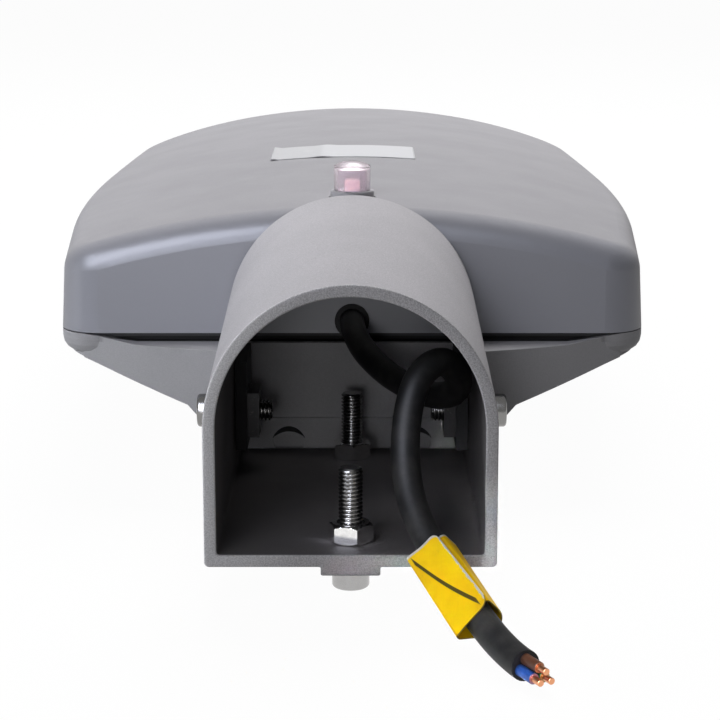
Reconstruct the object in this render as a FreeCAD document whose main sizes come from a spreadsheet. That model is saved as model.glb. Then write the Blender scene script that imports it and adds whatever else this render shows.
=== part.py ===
import FreeCAD, Part
import math
import os
import Sketcher
from FreeCAD import Vector

# LED street light head, in millimetres.
# Working axes while the pieces are drawn: X to the right, Y from the mouth of the pole bracket towards
# the nose of the head, Z up from the inner floor of the bracket. Every finished piece is then placed
# so that the origin lies under the middle of the head, on the surface that it rests on.

doc = FreeCAD.newDocument("street_light_head")
sheet = doc.addObject("Spreadsheet::Sheet", "sizes")

SIZES = [
    # pole bracket: a D-shaped tunnel, open at both ends
    ("bracket_length", 102.0),
    ("bracket_inner_width", 65.0),
    ("bracket_wall", 3.0),
    ("bracket_floor", 3.0),
    ("bracket_corner_radius", 1.0),
    ("arch_spring_mouth", 31.0),
    ("arch_spring_head", 38.0),
    ("boss_width", 14.5),
    ("boss_depth", 2.2),
    # clamp screws and nuts
    ("screw_diameter", 6.0),
    ("hole_clearance", 0.25),
    ("thread_clearance", 0.03),
    ("cap_diameter", 9.3),
    ("cap_height", 6.5),
    ("socket_across", 5.0),
    ("socket_depth", 3.2),
    ("nut_across", 10.0),
    ("nut_height", 5.0),
    ("clamp_front_inset", 12.0),
    ("clamp_rear_inset", 10.0),
    ("clamp_tip_height", 18.9),
    ("nut_turn_front", 16.0),
    ("nut_turn_rear", 5.0),
    # side screws, their washers and square nuts
    ("side_screw_inset", 17.0),
    ("side_screw_height", 15.5),
    ("side_cap_height", 6.3),
    ("side_tip_length", 3.5),
    ("washer_thickness", 1.5),
    ("washer_diameter", 11.6),
    ("square_nut_size", 12.5),
    ("square_nut_thickness", 3.3),
    # lugs of the housing inside the bracket
    ("lug_thickness", 3.2),
    ("lug_clearance", 0.3),
    ("lug_length", 26.5),
    ("lug_foot_height", 6.0),
    # plan outline of the head
    ("cover_setback", 4.0),
    ("body_length", 319.0),
    ("rear_width", 168.0),
    ("middle_width", 192.0),
    ("front_width", 174.0),
    ("middle_from_back", 124.0),
    ("shoulder_from_nose", 19.0),
    ("rear_corner_radius", 12.0),
    ("flank_radius", 700.0),
    ("shoulder_radius", 60.0),
    ("nose_radius", 150.0),
    # top cover
    ("rim_height", 33.0),
    ("seam_gap", 0.3),
    ("crown_height", 71.2),
    ("crown_radius_across", 284.0),
    ("crown_radius_along", 5200.0),
    ("cover_draft", 3.0),
    ("cover_edge_radius", 8.0),
    ("cover_wall", 2.5),
    ("flange_width", 8.0),
    ("flange_thickness", 3.0),
    # lower housing
    ("housing_wall", 3.0),
    ("housing_edge_radius", 4.5),
    ("housing_edge_lift", 1.0),
    ("panel_setback", 1.5),
    ("tunnel_clearance", 0.5),
    ("bulge_depth", 19.5),
    ("bulge_width", 156.0),
    ("bulge_blend", 3.0),
    ("ledge_drop", 2.0),
    ("ledge_width", 124.0),
    ("rear_keel_width", 64.0),
    ("rear_keel_depth", 1.0),
    ("rear_knuckle_width", 93.6),
    ("rear_knuckle_height", 14.8),
    ("rear_bilge_width", 163.0),
    ("rear_bilge_height", 27.0),
    ("belly_width", 122.0),
    ("belly_depth", 11.0),
    ("belly_bilge_width", 178.0),
    ("belly_bilge_height", 25.0),
    ("belly_knuckle_out", 9.8),
    ("belly_knuckle_rise", 13.7),
    ("belly_from_back", 112.0),
    ("belly_from_nose", 34.0),
    ("nose_keel_width", 60.0),
    ("nose_keel_height", 10.0),
    ("nose_knuckle_height", 16.8),
    ("bilge_slope", 0.45),
    ("panel_step_height", 8.6),
    ("panel_step_depth", 0.8),
    ("panel_dimple_diameter", 9.0),
    ("panel_dimple_depth", 1.6),
    ("panel_dimple_spacing", 36.8),
    ("panel_dimple_height", 1.7),
    # seal between cover and housing
    ("gasket_inset", 3.0),
    ("gasket_width", 3.5),
    ("gasket_lip_inset", 1.4),
    ("gasket_foot_height", 0.8),
    ("gasket_groove_depth", 1.1),
    ("gasket_clearance", 0.2),
    # cover screws
    ("cover_screw_diameter", 4.0),
    ("cover_screw_head_diameter", 7.0),
    ("cover_screw_head_height", 2.8),
    ("cover_screw_seat", 24.0),
    ("cover_screw_length", 24.0),
    ("cover_screw_recess_length", 4.2),
    ("cover_screw_recess_width", 1.0),
    ("cover_boss_diameter", 11.0),
    ("cover_boss_height", 12.0),
    ("cover_screw_inset", 12.0),
    ("cover_screw_rear_inset", 18.0),
    ("cover_screw_front_inset", 26.0),
    # light window
    ("pocket_width", 100.0),
    ("pocket_length", 152.0),
    ("pocket_from_back", 124.0),
    ("pocket_depth", 6.1),
    ("board_recess_depth", 2.9),
    ("board_ledge", 5.0),
    ("pocket_roof", 3.0),
    ("shelf_margin", 8.0),
    ("board_thickness", 1.6),
    ("board_clearance", 0.4),
    ("chip_size", 5.0),
    ("chip_height", 0.8),
    ("chip_columns", 5),
    ("chip_rows", 7),
    ("chip_pitch_across", 17.5),
    ("chip_pitch_along", 19.0),
    ("lens_plate_thickness", 2.2),
    ("lens_dome_diameter", 13.0),
    ("lens_dome_height", 2.6),
    ("lens_frame_width", 116.0),
    ("lens_frame_length", 168.0),
    ("lens_frame_thickness", 3.0),
    ("lens_frame_corner", 6.0),
    ("seal_width", 5.0),
    ("seal_thickness", 1.9),
    ("frame_screw_diameter", 3.0),
    ("frame_screw_head_diameter", 5.6),
    ("frame_screw_head_height", 1.6),
    ("frame_screw_length", 6.0),
    ("frame_screw_inset", 4.0),
    # electrical gear inside
    ("driver_length", 126.0),
    ("driver_width", 56.0),
    ("driver_height", 30.0),
    ("driver_edge_radius", 4.0),
    ("driver_foot_length", 10.0),
    ("driver_foot_thickness", 2.5),
    ("driver_from_pocket_end", 12.0),
    ("driver_screw_diameter", 4.0),
    ("driver_screw_head_diameter", 7.5),
    ("driver_screw_head_height", 2.4),
    ("driver_hole_floor", 0.4),
    ("terminal_width", 32.0),
    ("terminal_length", 18.0),
    ("terminal_height", 14.0),
    ("terminal_poles", 3),
    ("terminal_pitch", 10.0),
    ("terminal_hole", 5.0),
    ("terminal_hole_depth", 6.0),
    ("terminal_before_pocket", 44.0),
    ("terminal_pad_margin", 4.0),
    ("lead_diameter", 2.2),
    ("lead_height", 11.0),
    ("sensor_lead_drop", 10.0),
    ("led_lead_offset", 12.0),
    ("led_lead_from_end", 28.0),
    # light sensor on the cover
    ("sensor_from_back", 25.0),
    ("sensor_flange_diameter", 13.0),
    ("sensor_flange_height", 2.4),
    ("sensor_stem_diameter", 8.0),
    ("sensor_stem_length", 9.0),
    ("sensor_dome_diameter", 10.8),
    ("sensor_dome_height", 8.7),
    ("sensor_dome_wall", 1.0),
    ("sensor_cap_rise", 1.4),
    ("sensor_seat_depth", 0.3),
    ("sensor_boss_diameter", 18.0),
    ("sensor_boss_thickness", 3.5),
    ("sensor_nut_across", 13.0),
    ("sensor_nut_height", 2.5),
    ("sensor_chip_size", 4.4),
    ("sensor_chip_height", 3.2),
    # blank label on the cover
    ("label_width", 49.0),
    ("label_length", 33.0),
    ("label_thickness", 0.25),
    ("label_clearance", 0.03),
    ("label_offset", -3.4),
    ("label_from_back", 129.5),
    # supply cable and what is on it
    ("cable_diameter", 7.2),
    ("cable_height", 36.8),
    ("grommet_diameter", 10.0),
    ("grommet_clearance", 0.05),
    ("cable_gap", 0.15),
    ("cable_passage_reach", 6.0),
    ("tag_length", 26.0),
    ("tag_width", 11.0),
    ("tag_thickness", 0.4),
    ("tag_slack", 1.1),
    ("tag_clearance", 0.6),
    ("core_diameter", 2.6),
    ("core_length", 9.0),
]

for row, (alias, number) in enumerate(SIZES, start=1):
    sheet.set("A%d" % row, alias.replace("_", " "))
    sheet.set("B%d" % row, str(number))
    sheet.setAlias("B%d" % row, alias)
doc.recompute()


class Sizes:
    """Reads a driving dimension from the sheet by its name."""

    def __getattr__(self, alias):
        return float(sheet.get(alias))


S = Sizes()

# Levels and lengths that follow from the driving dimensions.
BRACKET_HALF = S.bracket_inner_width / 2
BACK = S.bracket_length + S.cover_setback
NOSE = BACK + S.body_length
PANEL = S.bracket_length + S.panel_setback
SEAM = S.rim_height + S.seam_gap
LEDGE = S.rim_height - S.ledge_drop
REST = -S.belly_depth - S.lens_frame_thickness
POCKET_Y = BACK + S.pocket_from_back
POCKET_TOP = -S.belly_depth + S.pocket_depth
BOARD_TOP = POCKET_TOP + S.board_recess_depth
SHELF = BOARD_TOP + S.pocket_roof
WINDOW_Y = POCKET_Y + S.pocket_length / 2
TERMINAL_Y = POCKET_Y - S.terminal_before_pocket
DRIVER_END = POCKET_Y + S.pocket_length - S.driver_from_pocket_end
DRIVER_START = DRIVER_END - S.driver_length
DRIVER_SCREW_Y = (DRIVER_START - S.driver_foot_length / 2, DRIVER_END + S.driver_foot_length / 2)
DRIVER_BITE = S.pocket_roof - S.driver_hole_floor
LED_LEAD_X = S.driver_width / 2 + S.led_lead_offset
LED_LEAD_Y = DRIVER_END - S.led_lead_from_end
FAR = 1000.0

# The lower edge of the housing's side is eased by an arc that turns from upright to the underside.
EASE_TURN = 66.0
EASE = math.tan(math.radians(EASE_TURN / 2))

# The same levels as expressions, for the pieces that are bound to the sheet.
E_BACK = "(sizes.bracket_length + sizes.cover_setback)"
E_POCKET_Y = "(%s + sizes.pocket_from_back)" % E_BACK
E_WINDOW_Y = "(%s + sizes.pocket_length / 2)" % E_POCKET_Y
E_POCKET_TOP = "(sizes.pocket_depth - sizes.belly_depth)"
E_BOARD_TOP = "(%s + sizes.board_recess_depth)" % E_POCKET_TOP
E_SHELF = "(%s + sizes.pocket_roof)" % E_BOARD_TOP
E_SHIFT_Y = "-(%s + sizes.body_length) / 2" % E_BACK
E_SHIFT_Z = "sizes.belly_depth + sizes.lens_frame_thickness"

nodes = []


def finished(piece, label):
    """Names a finished piece and moves it from the working axes to the head's own frame."""
    piece.Label = label
    piece.setExpression("Placement.Base.y", E_SHIFT_Y)
    piece.setExpression("Placement.Base.z", E_SHIFT_Z)
    nodes.append(piece)
    return piece


def finished_shape(shape, label):
    """Keeps a shape worked out in code as a piece of the document."""
    piece = doc.addObject("Part::Feature", label)
    piece.Label = label
    piece.Shape = shape
    piece.Placement = FreeCAD.Placement(Vector(0, -NOSE / 2, -REST), FreeCAD.Rotation())
    nodes.append(piece)
    return piece


# Small parametric primitives. Each place and size is an expression on the sheet.

AXIS_TURN = {
    "z": FreeCAD.Rotation(),
    "-z": FreeCAD.Rotation(Vector(1, 0, 0), 180),
    "x": FreeCAD.Rotation(Vector(0, 1, 0), 90),
    "-x": FreeCAD.Rotation(Vector(0, 1, 0), -90),
    "y": FreeCAD.Rotation(Vector(1, 0, 0), -90),
}


def place(item, at, axis="z"):
    item.Placement = FreeCAD.Placement(Vector(0, 0, 0), AXIS_TURN[axis])
    for coordinate, expression in zip("xyz", at):
        item.setExpression("Placement.Base." + coordinate, str(expression))
    return item


def cylinder(name, diameter, height, at, axis="z"):
    item = doc.addObject("Part::Cylinder", name)
    item.setExpression("Radius", "(%s) / 2" % diameter)
    item.setExpression("Height", str(height))
    return place(item, at, axis)


def hexagon(name, across, height, at, axis="z"):
    item = doc.addObject("Part::Prism", name)
    item.Polygon = 6
    item.setExpression("Circumradius", "(%s) / sqrt(3)" % across)
    item.setExpression("Height", str(height))
    return place(item, at, axis)


def block(name, length, width, height, at):
    item = doc.addObject("Part::Box", name)
    item.setExpression("Length", str(length))
    item.setExpression("Width", str(width))
    item.setExpression("Height", str(height))
    return place(item, at)


def fused(name, pieces):
    item = doc.addObject("Part::MultiFuse", name)
    item.Shapes = pieces
    return item


def cut(name, base, tool):
    item = doc.addObject("Part::Cut", name)
    item.Base = base
    item.Tool = tool
    return item


# Bodies made from sketches.

def new_body(label):
    return doc.addObject("PartDesign::Body", label)


def sketch_on(body, role, name, offset=None):
    """A sketch on one of the body's own origin planes, moved along its normal by an expression."""
    sketch = body.newObject("Sketcher::SketchObject", name)
    plane = [f for f in body.Origin.OriginFeatures if f.Role == role][0]
    sketch.AttachmentSupport = (plane, [""])
    sketch.MapMode = "FlatFace"
    if offset is not None:
        sketch.setExpression("AttachmentOffset.Base.z", offset)
    return sketch


def bind(sketch, constraint, expression):
    index = sketch.addConstraint(constraint)
    sketch.setExpression("Constraints[%d]" % index, expression)


def value(expression):
    return float(sheet.evalExpression(expression.replace("sizes.", "")))


def rectangle(sketch, left, right, bottom, top):
    """Four sides at four expressions, measured from the sketch's origin."""
    x0, x1, y0, y1 = (value(e) for e in (left, right, bottom, top))
    corners = [Vector(x0, y0, 0), Vector(x1, y0, 0), Vector(x1, y1, 0), Vector(x0, y1, 0)]
    first = sketch.GeometryCount
    for i in range(4):
        sketch.addGeometry(Part.LineSegment(corners[i], corners[(i + 1) % 4]), False)
    for i in range(4):
        sketch.addConstraint(Sketcher.Constraint("Coincident", first + i, 2, first + (i + 1) % 4, 1))
    for i, kind in enumerate(("Horizontal", "Vertical", "Horizontal", "Vertical")):
        sketch.addConstraint(Sketcher.Constraint(kind, first + i))
    bind(sketch, Sketcher.Constraint("DistanceX", -1, 1, first, 1, x0), left)
    bind(sketch, Sketcher.Constraint("DistanceX", -1, 1, first + 1, 1, x1), right)
    bind(sketch, Sketcher.Constraint("DistanceY", -1, 1, first, 1, y0), bottom)
    bind(sketch, Sketcher.Constraint("DistanceY", -1, 1, first + 2, 1, y1), top)


def circle(sketch, x, y, diameter):
    cx, cy, across = (value(e) for e in (x, y, diameter))
    index = sketch.addGeometry(Part.Circle(Vector(cx, cy, 0), Vector(0, 0, 1), across / 2), False)
    bind(sketch, Sketcher.Constraint("DistanceX", -1, 1, index, 3, cx), x)
    bind(sketch, Sketcher.Constraint("DistanceY", -1, 1, index, 3, cy), y)
    bind(sketch, Sketcher.Constraint("Diameter", index, across), diameter)


def arch(sketch, half, foot, spring):
    """A D section: flat foot, upright sides and a half round tangent to them."""
    w, z0, z1 = (value(e) for e in (half, foot, spring))
    sketch.addGeometry(Part.LineSegment(Vector(-w, z0, 0), Vector(w, z0, 0)), False)
    sketch.addGeometry(Part.LineSegment(Vector(w, z0, 0), Vector(w, z1, 0)), False)
    round_top = Part.ArcOfCircle(Part.Circle(Vector(0, z1, 0), Vector(0, 0, 1), w), 0, math.pi)
    sketch.addGeometry(round_top, False)
    sketch.addGeometry(Part.LineSegment(Vector(-w, z1, 0), Vector(-w, z0, 0)), False)
    sketch.addConstraint(Sketcher.Constraint("Coincident", 0, 2, 1, 1))
    sketch.addConstraint(Sketcher.Constraint("Coincident", 3, 2, 0, 1))
    sketch.addConstraint(Sketcher.Constraint("Horizontal", 0))
    sketch.addConstraint(Sketcher.Constraint("Vertical", 1))
    sketch.addConstraint(Sketcher.Constraint("Vertical", 3))
    sketch.addConstraint(Sketcher.Constraint("Tangent", 1, 2, 2, 1))
    sketch.addConstraint(Sketcher.Constraint("Tangent", 2, 2, 3, 1))
    sketch.addConstraint(Sketcher.Constraint("PointOnObject", 2, 3, -2))
    bind(sketch, Sketcher.Constraint("DistanceX", -1, 1, 1, 1, w), half)
    bind(sketch, Sketcher.Constraint("DistanceY", -1, 1, 1, 1, z0), foot)
    bind(sketch, Sketcher.Constraint("DistanceY", -1, 1, 2, 3, z1), spring)


def pad(body, sketch, name, length, backwards=False):
    item = body.newObject("PartDesign::Pad", name)
    item.Profile = sketch
    item.setExpression("Length", length)
    item.Reversed = backwards
    return item


def pocket(body, sketch, name, length, backwards=False):
    item = body.newObject("PartDesign::Pocket", name)
    item.Profile = sketch
    item.setExpression("Length", length)
    item.Reversed = backwards
    return item


# Pole bracket: one aluminium casting. The arch springs higher at the head end than at the mouth.

E_CLAMP_Y = {"front": "sizes.clamp_front_inset", "rear": "(sizes.bracket_length - sizes.clamp_rear_inset)"}
E_SIDE_Y = "(sizes.bracket_length - sizes.side_screw_inset)"
E_HALF_IN = "sizes.bracket_inner_width / 2"
E_HALF_OUT = "(sizes.bracket_inner_width / 2 + sizes.bracket_wall)"


def make_pole_bracket():
    body = new_body("pole_bracket_body")
    ends = (("mouth", None), ("head", "-sizes.bracket_length"))
    skins = (("outer", E_HALF_OUT, "-sizes.bracket_floor", "PartDesign::AdditiveLoft"),
             ("inner", E_HALF_IN, "0", "PartDesign::SubtractiveLoft"))
    for skin, half, foot, kind in skins:
        sections = []
        for end, offset in ends:
            section = sketch_on(body, "XZ_Plane", "%s_%s" % (skin, end), offset)
            arch(section, half, foot, "sizes.arch_spring_%s" % end)
            sections.append(section)
        loft = body.newObject(kind, skin + "_skin")
        loft.Profile = sections[0]
        loft.Sections = [(sections[1], [""])]
        loft.Ruled = True
        doc.recompute()
    strip = sketch_on(body, "XZ_Plane", "boss_strip_section")
    rectangle(strip, "-sizes.boss_width / 2", "sizes.boss_width / 2",
              "-sizes.bracket_floor - sizes.boss_depth", "-sizes.bracket_floor + 0.2")
    pad(body, strip, "boss_strip", "sizes.bracket_length", True)
    floor_holes = sketch_on(body, "XY_Plane", "clamp_hole_centres",
                            "-sizes.bracket_floor - sizes.boss_depth")
    for y in E_CLAMP_Y.values():
        circle(floor_holes, "0", y, "sizes.screw_diameter + 2 * sizes.hole_clearance")
    pocket(body, floor_holes, "clamp_holes", "sizes.bracket_floor + sizes.boss_depth", True)
    side_holes = sketch_on(body, "YZ_Plane", "side_hole_centres", E_HALF_OUT)
    circle(side_holes, E_SIDE_Y, "sizes.side_screw_height", "sizes.screw_diameter + 2 * sizes.hole_clearance")
    drilled = pocket(body, side_holes, "side_holes", "2 * %s" % E_HALF_OUT)
    doc.recompute()
    corners = ["Edge%d" % i for i, edge in enumerate(drilled.Shape.Edges, start=1)
               if edge.BoundBox.ZMax < -S.bracket_floor + 0.01 and edge.BoundBox.YLength > S.bracket_length / 2
               and abs(edge.BoundBox.XMin) > BRACKET_HALF]
    rounding = body.newObject("PartDesign::Fillet", "lower_corners")
    rounding.Base = (drilled, corners)
    rounding.setExpression("Radius", "sizes.bracket_corner_radius")
    doc.recompute()
    finished(body, "pole_bracket")


# Clamp screws: socket caps under the bracket, each with its nut on the inner floor.

def make_clamp_set(end):
    y = E_CLAMP_Y[end]
    under = "-sizes.bracket_floor - sizes.boss_depth"
    shank = cylinder("clamp_shank_" + end, "sizes.screw_diameter",
                     "sizes.clamp_tip_height + sizes.bracket_floor + sizes.boss_depth", ("0", y, under))
    cap = cylinder("clamp_cap_" + end, "sizes.cap_diameter", "sizes.cap_height",
                   ("0", y, under + " - sizes.cap_height"))
    socket = hexagon("clamp_socket_" + end, "sizes.socket_across", "sizes.socket_depth",
                     ("0", y, under + " - sizes.cap_height"))
    whole = fused("clamp_blank_" + end, [shank, cap])
    finished(cut("clamp_screw_cut_" + end, whole, socket), "clamp_screw_" + end)
    nut = hexagon("clamp_nut_blank_" + end, "sizes.nut_across", "sizes.nut_height", ("0", y, "0"))
    nut.Placement = FreeCAD.Placement(Vector(0, 0, 0), FreeCAD.Rotation(Vector(0, 0, 1), 30))
    nut.setExpression("Placement.Rotation.Angle", "30 + sizes.nut_turn_%s" % end)
    dome = doc.addObject("Part::Cone", "clamp_nut_chamfer_" + end)
    dome.setExpression("Radius1", "sizes.nut_across / sqrt(3) + sizes.nut_height")
    dome.setExpression("Radius2", "sizes.nut_across / 2")
    dome.setExpression("Height", "sizes.nut_height")
    place(dome, ("0", y, "0"))
    chamfered = doc.addObject("Part::Common", "clamp_nut_chamfered_" + end)
    chamfered.Base = nut
    chamfered.Tool = dome
    bore = cylinder("clamp_nut_bore_" + end, "sizes.screw_diameter + 2 * sizes.thread_clearance",
                    "sizes.nut_height", ("0", y, "0"))
    finished(cut("clamp_nut_cut_" + end, chamfered, bore), "clamp_nut_" + end)


# Side screws hold the housing's lugs between the bracket wall and a square nut.

def make_side_set(side, sign):
    turn = "x" if sign > 0 else "-x"
    seat = "(%s + sizes.washer_thickness)" % E_HALF_OUT
    inside = "(%s - sizes.lug_clearance - sizes.lug_thickness)" % E_HALF_IN
    reach = "(%s - %s + sizes.square_nut_thickness + sizes.side_tip_length)" % (seat, inside)
    at_seat = ("%d * %s" % (sign, seat), E_SIDE_Y, "sizes.side_screw_height")
    back = "-x" if sign > 0 else "x"
    shank = cylinder("side_shank_" + side, "sizes.screw_diameter", reach, at_seat, back)
    cap = cylinder("side_cap_" + side, "sizes.cap_diameter", "sizes.side_cap_height", at_seat, turn)
    mouth = "%d * (%s + sizes.side_cap_height - sizes.socket_depth)" % (sign, seat)
    socket = hexagon("side_socket_" + side, "sizes.socket_across", "sizes.socket_depth",
                     (mouth, E_SIDE_Y, "sizes.side_screw_height"), turn)
    whole = fused("side_blank_" + side, [shank, cap])
    finished(cut("side_screw_cut_" + side, whole, socket), "side_screw_" + side)
    at_wall = ("%d * %s" % (sign, E_HALF_OUT), E_SIDE_Y, "sizes.side_screw_height")
    disc = cylinder("side_washer_disc_" + side, "sizes.washer_diameter", "sizes.washer_thickness", at_wall, turn)
    eye = cylinder("side_washer_eye_" + side, "sizes.screw_diameter + 2 * sizes.hole_clearance",
                   "sizes.washer_thickness", at_wall, turn)
    finished(cut("side_washer_cut_" + side, disc, eye), "side_washer_" + side)
    corner = "%s - sizes.square_nut_thickness" % inside if sign > 0 else "-%s" % inside
    plate = block("square_nut_plate_" + side, "sizes.square_nut_thickness", "sizes.square_nut_size",
                  "sizes.square_nut_size",
                  (corner, "%s - sizes.square_nut_size / 2" % E_SIDE_Y,
                   "sizes.side_screw_height - sizes.square_nut_size / 2"))
    tapped = cylinder("square_nut_bore_" + side, "sizes.screw_diameter + 2 * sizes.thread_clearance",
                      "sizes.square_nut_thickness", ("%d * %s" % (sign, inside), E_SIDE_Y,
                                                     "sizes.side_screw_height"), back)
    finished(cut("square_nut_cut_" + side, plate, tapped), "square_nut_" + side)


# Plan outline of the head, seen from above, and the solids that follow it.

def rounded_outline(corners):
    """Closed wire through (x, y, radius) corners, each rounded by an arc tangent to both sides."""
    count = len(corners)
    points = [Vector(x, y, 0) for x, y, _ in corners]
    starts, mids, ends = [], [], []
    for i in range(count):
        before = (points[i - 1] - points[i]).normalize()
        after = (points[(i + 1) % count] - points[i]).normalize()
        half_angle = before.getAngle(after) / 2
        reach = corners[i][2] / math.tan(half_angle)
        middle = (before + after).normalize()
        centre = points[i] + middle * (corners[i][2] / math.sin(half_angle))
        starts.append(points[i] + before * reach)
        mids.append(centre - middle * corners[i][2])
        ends.append(points[i] + after * reach)
    edges = []
    for i in range(count):
        edges.append(Part.Arc(starts[i], mids[i], ends[i]).toShape())
        edges.append(Part.LineSegment(ends[i], starts[(i + 1) % count]).toShape())
    return Part.Wire(edges)


def plan_corners():
    """Corners of the plan, anticlockwise from the rear right one; the nose arc's own top lies at NOSE."""
    half_turn = math.atan(S.shoulder_from_nose / (S.front_width / 2))
    point = NOSE + S.nose_radius * (1 / math.cos(half_turn) - 1)
    right = [(S.rear_width / 2, BACK, S.rear_corner_radius),
             (S.middle_width / 2, BACK + S.middle_from_back, S.flank_radius),
             (S.front_width / 2, point - S.shoulder_from_nose, S.shoulder_radius)]
    nose = [(0, point, S.nose_radius)]
    left = [(-x, y, r) for x, y, r in reversed(right)]
    return right + nose + left


PLAN = rounded_outline(plan_corners())


def plan_wire(inset, level):
    wire = PLAN if inset == 0 else PLAN.makeOffset2D(-inset)
    return wire.translated(Vector(0, 0, level))


def plan_prism(inset, low, high):
    return Part.Face(plan_wire(inset, low)).extrude(Vector(0, 0, high - low))


def box(x0, x1, y0, y1, z0, z1):
    return Part.makeBox(x1 - x0, y1 - y0, z1 - z0, Vector(x0, y0, z0))


def rod(x, y, low, high, diameter):
    return Part.makeCylinder(diameter / 2, high - low, Vector(x, y, low))


CROWN_MIDDLE = BACK + S.body_length / 2


def under_crown(drop):
    """Everything under the crowned top: an arc across, turned about a far lower axis lengthwise."""
    peak = S.crown_height - drop
    across = S.crown_radius_across - drop
    half = S.middle_width * 0.75
    side = peak - across + math.sqrt(across ** 2 - half ** 2)
    low = side - 60.0
    top = Part.Arc(Vector(-half, 0, side), Vector(0, 0, peak), Vector(half, 0, side)).toShape()
    base = [Vector(half, 0, side), Vector(half, 0, low), Vector(-half, 0, low), Vector(-half, 0, side)]
    section = Part.Face(Part.Wire([top] + [Part.LineSegment(base[i], base[i + 1]).toShape() for i in range(3)]))
    section.translate(Vector(0, CROWN_MIDDLE, 0))
    axis = Vector(0, CROWN_MIDDLE, peak - S.crown_radius_along)
    swing = math.degrees(math.asin(0.7 * S.body_length / S.crown_radius_along))
    section.rotate(axis, Vector(1, 0, 0), -swing)
    return section.revolve(axis, Vector(1, 0, 0), 2 * swing)


def crown_level(x, y, drop=0.0):
    """Height of the crowned top over a point of the plan."""
    across = S.crown_radius_across - drop
    fall = across - math.sqrt(across ** 2 - x ** 2)
    along = S.crown_radius_along - drop - fall
    return S.crown_height - S.crown_radius_along + math.sqrt(along ** 2 - (y - CROWN_MIDDLE) ** 2)


def cover_shell(inset, low, edge_radius):
    """The cover's solid form: drafted sides under the crown, with a rounded upper edge."""
    rise = S.crown_height - low + 5.0
    narrowing = rise * math.tan(math.radians(S.cover_draft))
    skirt = Part.makeLoft([plan_wire(inset, low), plan_wire(inset + narrowing, low + rise)], True, True)
    form = skirt.common(under_crown(inset)).removeSplitter()
    form = form.Solids[0]
    top = max(form.Faces, key=lambda face: face.CenterOfMass.z)
    return form.makeFillet(edge_radius, top.OuterWire.Edges)


def cover_screw_places():
    """Three screws on each side, set in from the flanks."""
    right = [(S.rear_width / 2 - S.cover_screw_inset, BACK + S.cover_screw_rear_inset),
             (S.middle_width / 2 - S.cover_screw_inset, BACK + S.middle_from_back),
             (S.front_width / 2 - S.cover_screw_front_inset, NOSE - S.cover_screw_front_inset)]
    return right + [(-x, y) for x, y in right]


SENSOR_Y = BACK + S.sensor_from_back
SENSOR_SEAT = crown_level(0, SENSOR_Y) - S.sensor_seat_depth
SENSOR_UNDER = SENSOR_SEAT - S.sensor_boss_thickness


def make_top_cover():
    cover = cover_shell(0, SEAM, S.cover_edge_radius)
    hollow = cover_shell(S.cover_wall, SEAM - 1.0, S.cover_edge_radius - S.cover_wall)
    flange_top = SEAM + S.flange_thickness
    hollow = hollow.cut(plan_prism(0.1, SEAM - 2.0, flange_top).cut(
        plan_prism(S.flange_width, SEAM - 3.0, flange_top + 1.0)))
    solid_cover = cover
    cover = cover.cut(hollow)
    for x, y in cover_screw_places():
        cover = cover.fuse(rod(x, y, SEAM, SEAM + S.cover_boss_height, S.cover_boss_diameter).common(solid_cover))
    for x, y in cover_screw_places():
        tip = S.cover_screw_seat + S.cover_screw_length
        cover = cover.cut(rod(x, y, SEAM - 1, min(tip, SEAM + S.cover_boss_height) + 1.0,
                              S.cover_screw_diameter + 2 * S.thread_clearance))
    cover = cover.cut(rod(0, SENSOR_Y, SENSOR_SEAT, FAR / 10, S.sensor_flange_diameter + 1.0))
    seat = rod(0, SENSOR_Y, SENSOR_UNDER, SENSOR_SEAT, S.sensor_boss_diameter)
    cover = cover.fuse(seat.common(solid_cover))
    cover = cover.cut(rod(0, SENSOR_Y, SENSOR_UNDER - 1.0, SENSOR_SEAT + 1.0,
                          S.sensor_stem_diameter + 2 * S.grommet_clearance))
    entry = Part.makeCylinder(S.grommet_diameter / 2 + S.grommet_clearance, S.cover_wall + 1.0,
                              Vector(0, BACK - 1.0, S.cable_height), Vector(0, 1, 0))
    passage = Part.makeCylinder(S.cable_diameter / 2 + S.cable_gap, S.flange_width + S.cable_passage_reach,
                                Vector(0, BACK - 1.0, S.cable_height), Vector(0, 1, 0))
    cover = cover.cut(entry).cut(passage).removeSplitter()
    finished_shape(cover.Solids[0], "top_cover")


# Lower housing: the underside is a row of cross sections joined by straight lines, cut to the plan.

def cross_section(y, half_points, lift, inset):
    """Closed section at one station; the wall's inside is the same section raised and narrowed."""
    side = [Vector(max(x - S.bilge_slope * inset, 1.0), y, z + lift) for x, z in half_points]
    mirrored = [Vector(-p.x, p.y, p.z) for p in reversed(side)]
    top = S.rim_height + FAR / 5
    ring = mirrored + side + [Vector(side[-1].x, y, top), Vector(-side[-1].x, y, top)]
    return Part.makePolygon(ring + [ring[0]])


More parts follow.
